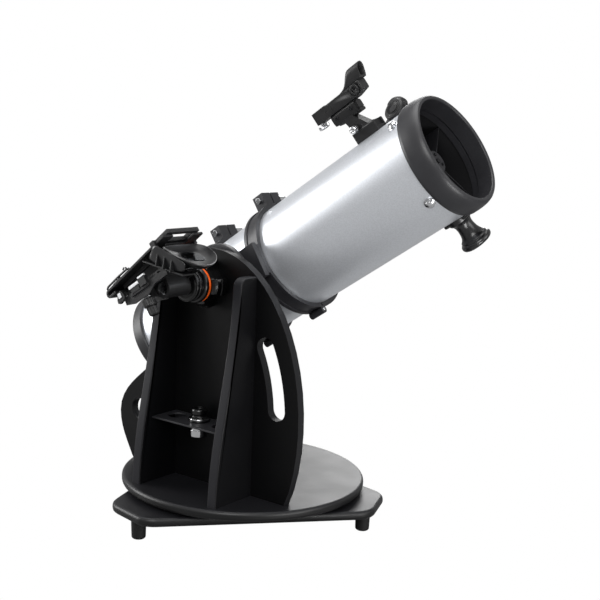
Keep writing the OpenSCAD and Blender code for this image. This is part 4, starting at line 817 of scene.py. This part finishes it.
piece("knob_faces", gather([(lathe(CAP, 48), place @ at(0, 0, 13)) for place in knob_ends]), "focus_shaft",
      "black_plastic", FOCUS, finish="knob_black")
COLLAR = rounded([(16.2, 47.4, 0), (19.6, 47.4, 0.5), (19.6, 50, 0.3), (19.0, 50.5, 0.2), (19.0, 57.4, 0.3),
                  (19.6, 58, 0.3), (19.6, 60, 0.6), (16.2, 60, 0.2)])
piece("draw_tube_collar", lathe(COLLAR, 96, knurl(60, 0.25, 50.6, 57.2), ring=True), "draw_tube", "black_plastic",
      FOCUS)
THUMB_DIRECTION = 200
thumb = piece("eyepiece_thumbscrew", lathe(rounded([
    (0, -7, 0), (2, -7, 0), (2, 0, 0), (4.2, 0.2, 0.4), (4.6, 1, 0.2), (4.6, 6.6, 0.2), (4.0, 7.6, 0.6),
    (0, 7.8, 0)]), 60, knurl(20, 0.4, 0.8, 6.7)), "focuser_screw", "chrome",
    FOCUS @ at(0, 0, 54) @ turned(THUMB_DIRECTION, "Z") @ turned(90, "Y") @ at(0, 0, 24.6))
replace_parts(thumb, "focuser_screw")

# %% Eyepieces
eye_place = FOCUS @ at(0, 0, 60.2)
EYE = rounded([(0, -26, 0), (14.4, -26, 0.4), (15.7, -25, 0.6), (15.7, 0, 0.2), (17, 0.1, 0.3), (17, 2.6, 0.5),
               (16.1, 3.2, 0.3), (16.1, 11.6, 0.3), (15.6, 12.2, 0.3), (15.4, 15.2, 1.6), (13.6, 16.4, 0.8),
               (12.6, 16.3, 0.5), (11.6, 14.2, 0.8), (8.4, 12.9, 0.3), (8.0, 12.5, 0.2), (0, 12.9, 0)])
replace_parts(piece("eyepiece_body", lathe(EYE, 108, knurl(36, 0.45, 4.4, 10.8)), "eyepiece", "black_plastic",
                  eye_place), "eyepiece")
piece("eye_lens", lathe(rounded([(0, 13.5, 0), (5, 13.2, 3), (7.9, 12.6, 0), (7.9, 12, 0), (0, 12, 0)]), 40),
      "eyepiece", "lens", eye_place, finish="knob_black")

# %% [markdown]
# The spare eyepiece stands in the tray's hole. Its body is a turned moulding with a waist for the fingers and a
# plated trim ring, and its barrel is a chromed tube that shows below the tray.

# %% Spare eyepiece
low, high = (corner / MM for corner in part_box("spare_eyepiece"))
spare_place = at((low.x + high.x) / 2, (low.y + high.y) / 2, low.z)
wide, tall = (high.x - low.x) / 2, high.z - low.z
BODY = rounded([(0, 0, 0), (wide, 0, 0.3), (wide, 2.4, 0.5), (wide - 1, 3, 0.3), (wide - 1, 5.2, 0.3),
                (wide - 1.8, 6.2, 0.8), (12.4, 8.4, 2), (12.4, 11, 1.5), (13.7, 13, 1), (13.9, tall - 3, 1),
                (12.6, tall - 0.6, 1.2), (8.4, tall, 0.5), (7, tall - 2, 0.4), (0, tall - 2.2, 0)])
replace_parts(piece("spare_body", lathe(BODY, 72), "spare_eyepiece", "black_plastic", spare_place, finish="knob_black"),
            "spare_eyepiece")
TRIM = rounded([(wide - 2, 3.3, 0), (wide - 0.5, 3.3, 0.3), (wide - 0.5, 4.9, 0.3), (wide - 2, 4.9, 0)])
piece("spare_trim", lathe(TRIM, 72, ring=True), "spare_eyepiece", "chrome", spare_place)
low, high = (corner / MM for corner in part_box("spare_barrel"))
barrel, long = (high.x - low.x) / 2, high.z - low.z
SLEEVE = rounded([(barrel - 1.2, 1, 0), (barrel - 0.6, 0, 0.3), (barrel, 0.6, 0.3), (barrel, long * 0.42, 0.4),
                  (barrel - 0.8, long * 0.46, 0.4), (barrel - 0.8, long * 0.66, 0.4), (barrel, long * 0.7, 0.4),
                  (barrel, long, 0), (barrel - 1.2, long, 0)])
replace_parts(piece("spare_sleeve", lathe(SLEEVE, 72, ring=True), "spare_eyepiece", "chrome",
                  at((low.x + high.x) / 2, (low.y + high.y) / 2, low.z)), "spare_barrel")

# %% [markdown]
# ## The tension knob and the hub
#
# The big knob is polished ABS with four broad lobes and deep finger hollows between them. A hollow is a round cut, so
# the lathe's wave stops the radius where a ray from the axis meets that circle. The knob's front is a dome, parted
# from the straight sides by a fine step.

# %% Tension knob
KNOB = axes_at(Vector((0, 0, pivot.z)), Vector((0, 0, 1)), Vector((0, 1, 0)), Vector((-1, 0, 0)))
CORE = 25.8
FIRST_HOLLOW = math.radians(41)


def finger_hollows(angle, radius, _height, centre=42.0, hollow=17.0):
    """Stops the radius at the round hollows between the four lobes."""
    aside = math.remainder(angle - FIRST_HOLLOW, math.pi / 2)
    reach = hollow ** 2 - (centre * math.sin(aside)) ** 2
    if reach <= 0:
        return radius
    return min(radius, max(CORE, centre * math.cos(aside) - math.sqrt(reach)))


TENSION = rounded([(8.4, 94.6, 0), (36, 94.6, 1), (40, 97, 2.5), (40.2, 113.5, 0.3), (39.3, 114, 0.2),
                   (39.1, 114.8, 0.2), (38.6, 120.6, 4), (34.5, 125.6, 3.5), (28.5, 127.2, 2), (CORE, 126.6, 0.4),
                   (CORE, 120.2, 0), (8.4, 120.2, 0)], 6)
knob = piece("lobed_knob", lathe(TENSION, 224, finger_hollows, ring=True), "tension_knob", "black_plastic", KNOB,
             finish="knob_black", crease=50)
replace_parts(knob, "tension_knob")
FLANGE = rounded([(20, 133.4, 0), (28.6, 133.4, 0.4), (29.6, 134.6, 0.8), (29.6, 139.4, 1.2), (28.2, 140.8, 0.8),
                  (25.2, 141.4, 0.3), (20, 141.4, 0)])
COLLARS = rounded([(20, 146, 0), (24.9, 146, 0.3), (25.7, 146.8, 0.4), (25.7, 149.2, 0.4), (24.9, 150, 0.3),
                   (20, 150, 0)])
piece("hub_flange", gather([(lathe(FLANGE, 96, ring=True), ROOM), (lathe(COLLARS, 72, ring=True), ROOM),
                            (lathe(COLLARS, 72, ring=True), at(0, 0, 7.6))]), "cradle", "gloss_black", KNOB,
      finish="knob_black")
TEETH = 72
SCALE = rounded([(26.4, 128.0, 0), (27.6, 128.2, 0.2), (28.1, 129.0, 0.3), (28.1, 132.2, 0.3), (27.4, 133.2, 0.2),
                 (26.4, 133.3, 0)])
piece("scale_teeth", lathe(SCALE, TEETH * 6, lambda a, r, h: r if r < 27.5 else
                           r - 0.55 * max(0.0, math.sin(TEETH * a)), ring=True), "cradle", "orange", KNOB)

# %% [markdown]
# ## The phone dock
#
# The dock is a stack of thin mouldings: a base on the spindle, a slide across it, a tray with a sprung jaw, and a
# glossy hood that carries the small mirror. The hood is a scoop. Its rim is one closed outline, and each further
# outline is the rim drawn in towards the mirror's circle and let down a little, inside and outside. A subdivision
# surface smooths the skin between them, so the gloss runs in one sweep.

# %% The mirror's frame and the scoop
SLOPE = math.sqrt(0.5)
mirror_down = (tube_axis - above) * SLOPE
mirror_out = (tube_axis + above) * SLOPE
DOCK_X = -198
MIRROR = axes_at(Vector((DOCK_X * MM, pivot.y, pivot.z)) + above * (50 * MM) + tube_axis * (53 * MM),
                 across, mirror_down, mirror_out)
RIM = [(-41, 7.5), (-43, 20), (-46.5, 34), (-50.5, 52), (-52.6, 72), (-51.5, 88), (-45, 98), (-32, 100.5), (-12, 93),
       (9, 77.5), (25, 62), (37, 45), (45, 27), (46, 14.5), (37, 6), (18, 4.5), (-2, 4.5), (-22, 4.8), (-35, 5)]
MIRROR_AT, MIRROR_RADIUS = Vector((0, 38)), 19.3


def drawn_in(share, height, radius=MIRROR_RADIUS):
    """The rim, moved by a share of the way to a circle round the mirror."""
    ring = []
    for point in map(Vector, RIM):
        around = (point - MIRROR_AT).normalized()
        place = point.lerp(MIRROR_AT + around * radius, share)
        ring.append((place.x, place.y, height))
    return ring


scoop = loft([drawn_in(0.95, -20, 12), drawn_in(0.72, -18.6, 12), drawn_in(0.45, -14), drawn_in(0.2, -8.4),
              drawn_in(0.04, -3.4), drawn_in(0.0, -2.6), drawn_in(-0.02, -1.4), drawn_in(-0.01, 0.1),
              drawn_in(0.03, 0.3), drawn_in(0.06, -0.6), drawn_in(0.16, -2.6), drawn_in(0.36, -5.9),
              drawn_in(0.62, -8.2), drawn_in(0.86, -9.0), drawn_in(0.98, -9.0), drawn_in(1, -9.4), drawn_in(1, -11.2)])
hood_piece = piece("mirror_scoop", scoop, "cradle", "gloss_black", MIRROR, finish="scoop_black", smoother=2)

# %% The scoop's side wall, its foot and three gussets
def rod(path, radius, sides=12):
    """Rings for a round rod that follows points, square to its own direction at each."""
    points = [Vector(p) for p in path]
    rings = []
    for index, point in enumerate(points):
        ahead = points[min(index + 1, len(points) - 1)] - points[max(index - 1, 0)]
        turn = ahead.to_track_quat("Z", "Y")
        rings.append([point + turn @ Vector((radius * math.cos(a), radius * math.sin(a), 0))
                      for a in [2 * math.pi * k / sides for k in range(sides)]])
    return loft(rings)


def slab(x_from, x_to, low, high, half, radius, along):
    """A block with rounded edges between two planes of x, and its place along the tube."""
    return loft([box_ring(x, low, high, half, radius, radius) for x in (x_from, x_to)]), at(0, 0, along)


def thin_wall(lines, thickness):
    """A wall whose outer side follows lines of points, each from back to front."""
    return loft([list(line) + [(x + thickness, y, z) for x, y, z in reversed(line)] for line in lines])


side_wall = thin_wall([
    [(-51, 0, 4), (-50, 6, 1.4), (-47.6, 14, -0.2), (-47.6, 24, -1.2), (-49, 36, -1.8), (-51, 52, -2.4), (-52, 68, -4)],
    [(-49, -5, -5), (-47.6, 2, -6), (-46.4, 12, -7), (-46, 24, -8), (-46, 36, -9), (-46.6, 52, -9), (-47.5, 66, -10)],
    [(-45, -10, -16), (-44.4, 0, -17), (-44, 12, -18), (-44, 24, -18), (-44, 36, -18), (-44, 52, -18),
     (-44, 64, -18)],
    [(-44, -19, -30.5), (-44, -6, -29.8), (-44, 8, -29), (-44, 24, -28), (-44, 36, -27.4), (-44, 52, -26.4),
     (-44, 64, -25.6)]], 2.4)
piece("scoop_wall", side_wall, "cradle", "gloss_black", MIRROR, finish="scoop_black", smoother=1)
foot_strip = loft([[(-46.5, y, z), (-46.5, y, z - 2.4), (-20, y, z - 2.4), (-20, y, z)]
                   for y, z in ((-21, -30.4), (64, -25.4))])
gussets = [loft([[(-45, y, -9), (-43, y, -9), (-43, y + 7, -28.4), (-52, y + 7, -28.2)],
                 [(-45, y + 1.6, -9), (-43, y + 1.6, -9), (-43, y + 8.6, -28.4), (-52, y + 8.6, -28.2)]])
           for y in (4, 19, 34)]
piece("scoop_foot", gather([(form, ROOM) for form in [foot_strip] + gussets]), "cradle", "black_plastic", MIRROR,
      edge_mm=0.4)
TO_SIDE = Matrix(((0, 0, 1, 0), (0, 1, 0, 0), (1, 0, 0, 0), (0, 0, 0, 1)))
WEB = [(44, 12), (44, 40), (58, 34), (72, 18), (78, 10), (70, 6)]
PLATE = [(44, 12), (44, 42), (48, 40), (48, 11)]
bracket = gather([(prism(WEB, DOCK_X + x - 1.6, DOCK_X + x + 1.6), TO_SIDE) for x in (-28, -10, 10, 28)]
                 + [(prism(PLATE, DOCK_X - 30, DOCK_X + 30), TO_SIDE)])
piece("scoop_bracket", bracket, "cradle", "black_plastic", DOCK, edge_mm=0.5)
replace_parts(hood_piece, "mirror_housing")
ROD = rounded([(0, 0, 0), (2.2, 0, 0.5), (2.2, 40, 0.5), (0, 40, 0)])
piece("scoop_rod", lathe(ROD, 24), "cradle", "black_plastic", DOCK @ at(-209, 8.6, 49) @ turned(90, "Y"),
      finish="knob_black")
piece("rod_end", lathe(rounded([(0, 0, 0), (2.9, 0, 0.3), (2.9, 3, 0.4), (1.6, 3.4, 0.3), (0, 3.4, 0)]), 24), "cradle",
      "chrome", DOCK @ at(-171, 8.6, 49) @ turned(90, "Y"))
piece("scoop_strut", gather([slab(-207, -203.6, 8, 26, 1.5, 0.8, 47.5)]), "cradle", "black_plastic", DOCK)

# %% The dock's adjusting knob, its screw and its plated guide bars
HEAD = rounded([(0, 0.2, 0), (6, 0.2, 0.3), (9.4, 0.6, 0.6), (10.4, 1.8, 0.5), (10.4, 11.6, 0.5), (9.4, 13, 0.8),
                (7.0, 13.6, 0.3), (7.0, 14.6, 0.3), (7.9, 15.2, 0.4), (7.9, 26.6, 0.5), (7.0, 27.8, 0.8), (0, 28, 0)])
screw_place = DOCK @ at(-223, -4, -25) @ turned(90, "X")
grip = piece("dock_knob_grip", lathe(HEAD, 120, lambda a, r, h: r if not (1.4 < h < 12.4 or 15 < h < 27) else
                                     r - 0.6 * max(0.0, min(1.0, 0.5 + 1.8 * math.sin(20 * a)))),
             "dock_knob", "black_plastic", screw_place)
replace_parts(grip, "dock_knob")
THREAD = [(2.9 - 0.35 * (k % 2), -19 + 0.75 * k, 0.1) for k in range(17)]
SCREW = rounded([(0, -20, 0), (2.9, -20, 0)] + THREAD + [(3, -6, 0), (6.2, -5.4, 0.3), (6.2, -2.6, 0.3),
                                                         (5.0, -1.8, 0.3), (5.0, 0.4, 0), (0, 0.4, 0)])
piece("dock_screw", lathe(SCREW, 40), "dock_knob", "chrome", screw_place)
bars = gather([slab(-239.2, -235.6, 20.6, 25.2, 12, 0.5, -28), slab(-239.2, -235.6, 26.2, 29.4, 8, 0.5, -6.5)])
piece("guide_bars", bars, "cradle", "chrome", DOCK, finish="zinc_plate", edge_mm=0.2)
blocks = gather([slab(-238.4, -233.7, 12.4, 21.2, 10, 0.8, -28), slab(-240, -233.7, 13, 26.6, 8, 1, -6.5),
                 slab(-237.5, -234.4, 9, 14, 22, 1, -20)])
piece("guide_blocks", blocks, "cradle", "black_plastic", DOCK, edge_mm=0.3)

# %% [markdown]
# ## The tray's lips
#
# The phone rests between two bent lips at the tray's low end. Each is a round bead that runs up the tray's edge, with
# a wedge of soft plastic inside it that centres a narrow phone. A rod follows a list of points, square to its own
# direction at each one, so the bead bends without a kink.

# %% Lips, wedges and the low end's hook
def lip(x, turn):
    bead = rod([(x, 38.5, -79), (x, 40, -82), (x, 43, -82.6), (x, 45.4, -79.5), (x, 46.6, -70), (x, 48.8, -50),
                (x, 50.4, -26), (x, 49.4, -21.5), (x, 46.4, -20)], 1.7)
    near, far, wide_end = x + turn, x + turn * 5, x + turn * 7
    wedge = loft([[(near, 40, -70), (near, 44.6, -69), (far, 44, -70), (far, 40, -70)],
                  [(near, 43, -46), (near, 47.8, -47), (wide_end, 46, -47), (wide_end, 43, -46)]])
    hook = rod([(x, 49, -24), (x, 53.6, -27), (x, 55, -31), (x, 53, -34)], 1.3)
    return [(bead, ROOM), (wedge, ROOM), (hook, ROOM)]


piece("tray_lips", gather(lip(-240.2, 1) + lip(-155.8, -1)), "phone_tray", "black_plastic", DOCK)
clip = gather([slab(-241.4, -239.8, 18, 26, 3.4, 1, -63)])
piece("tray_clip", clip, "cradle", "chrome", DOCK, finish="zinc_plate", edge_mm=0.2)
arm = prism([(-58, 12.2), (-70, 10.5), (-73.5, 13), (-72.5, 18), (-66, 28), (-58, 29), (-55, 22), (-54, 15.8)],
            -240, -234.6)
piece("clip_arm", gather([(arm, TO_SIDE)]), "cradle", "black_plastic", DOCK, edge_mm=0.6)
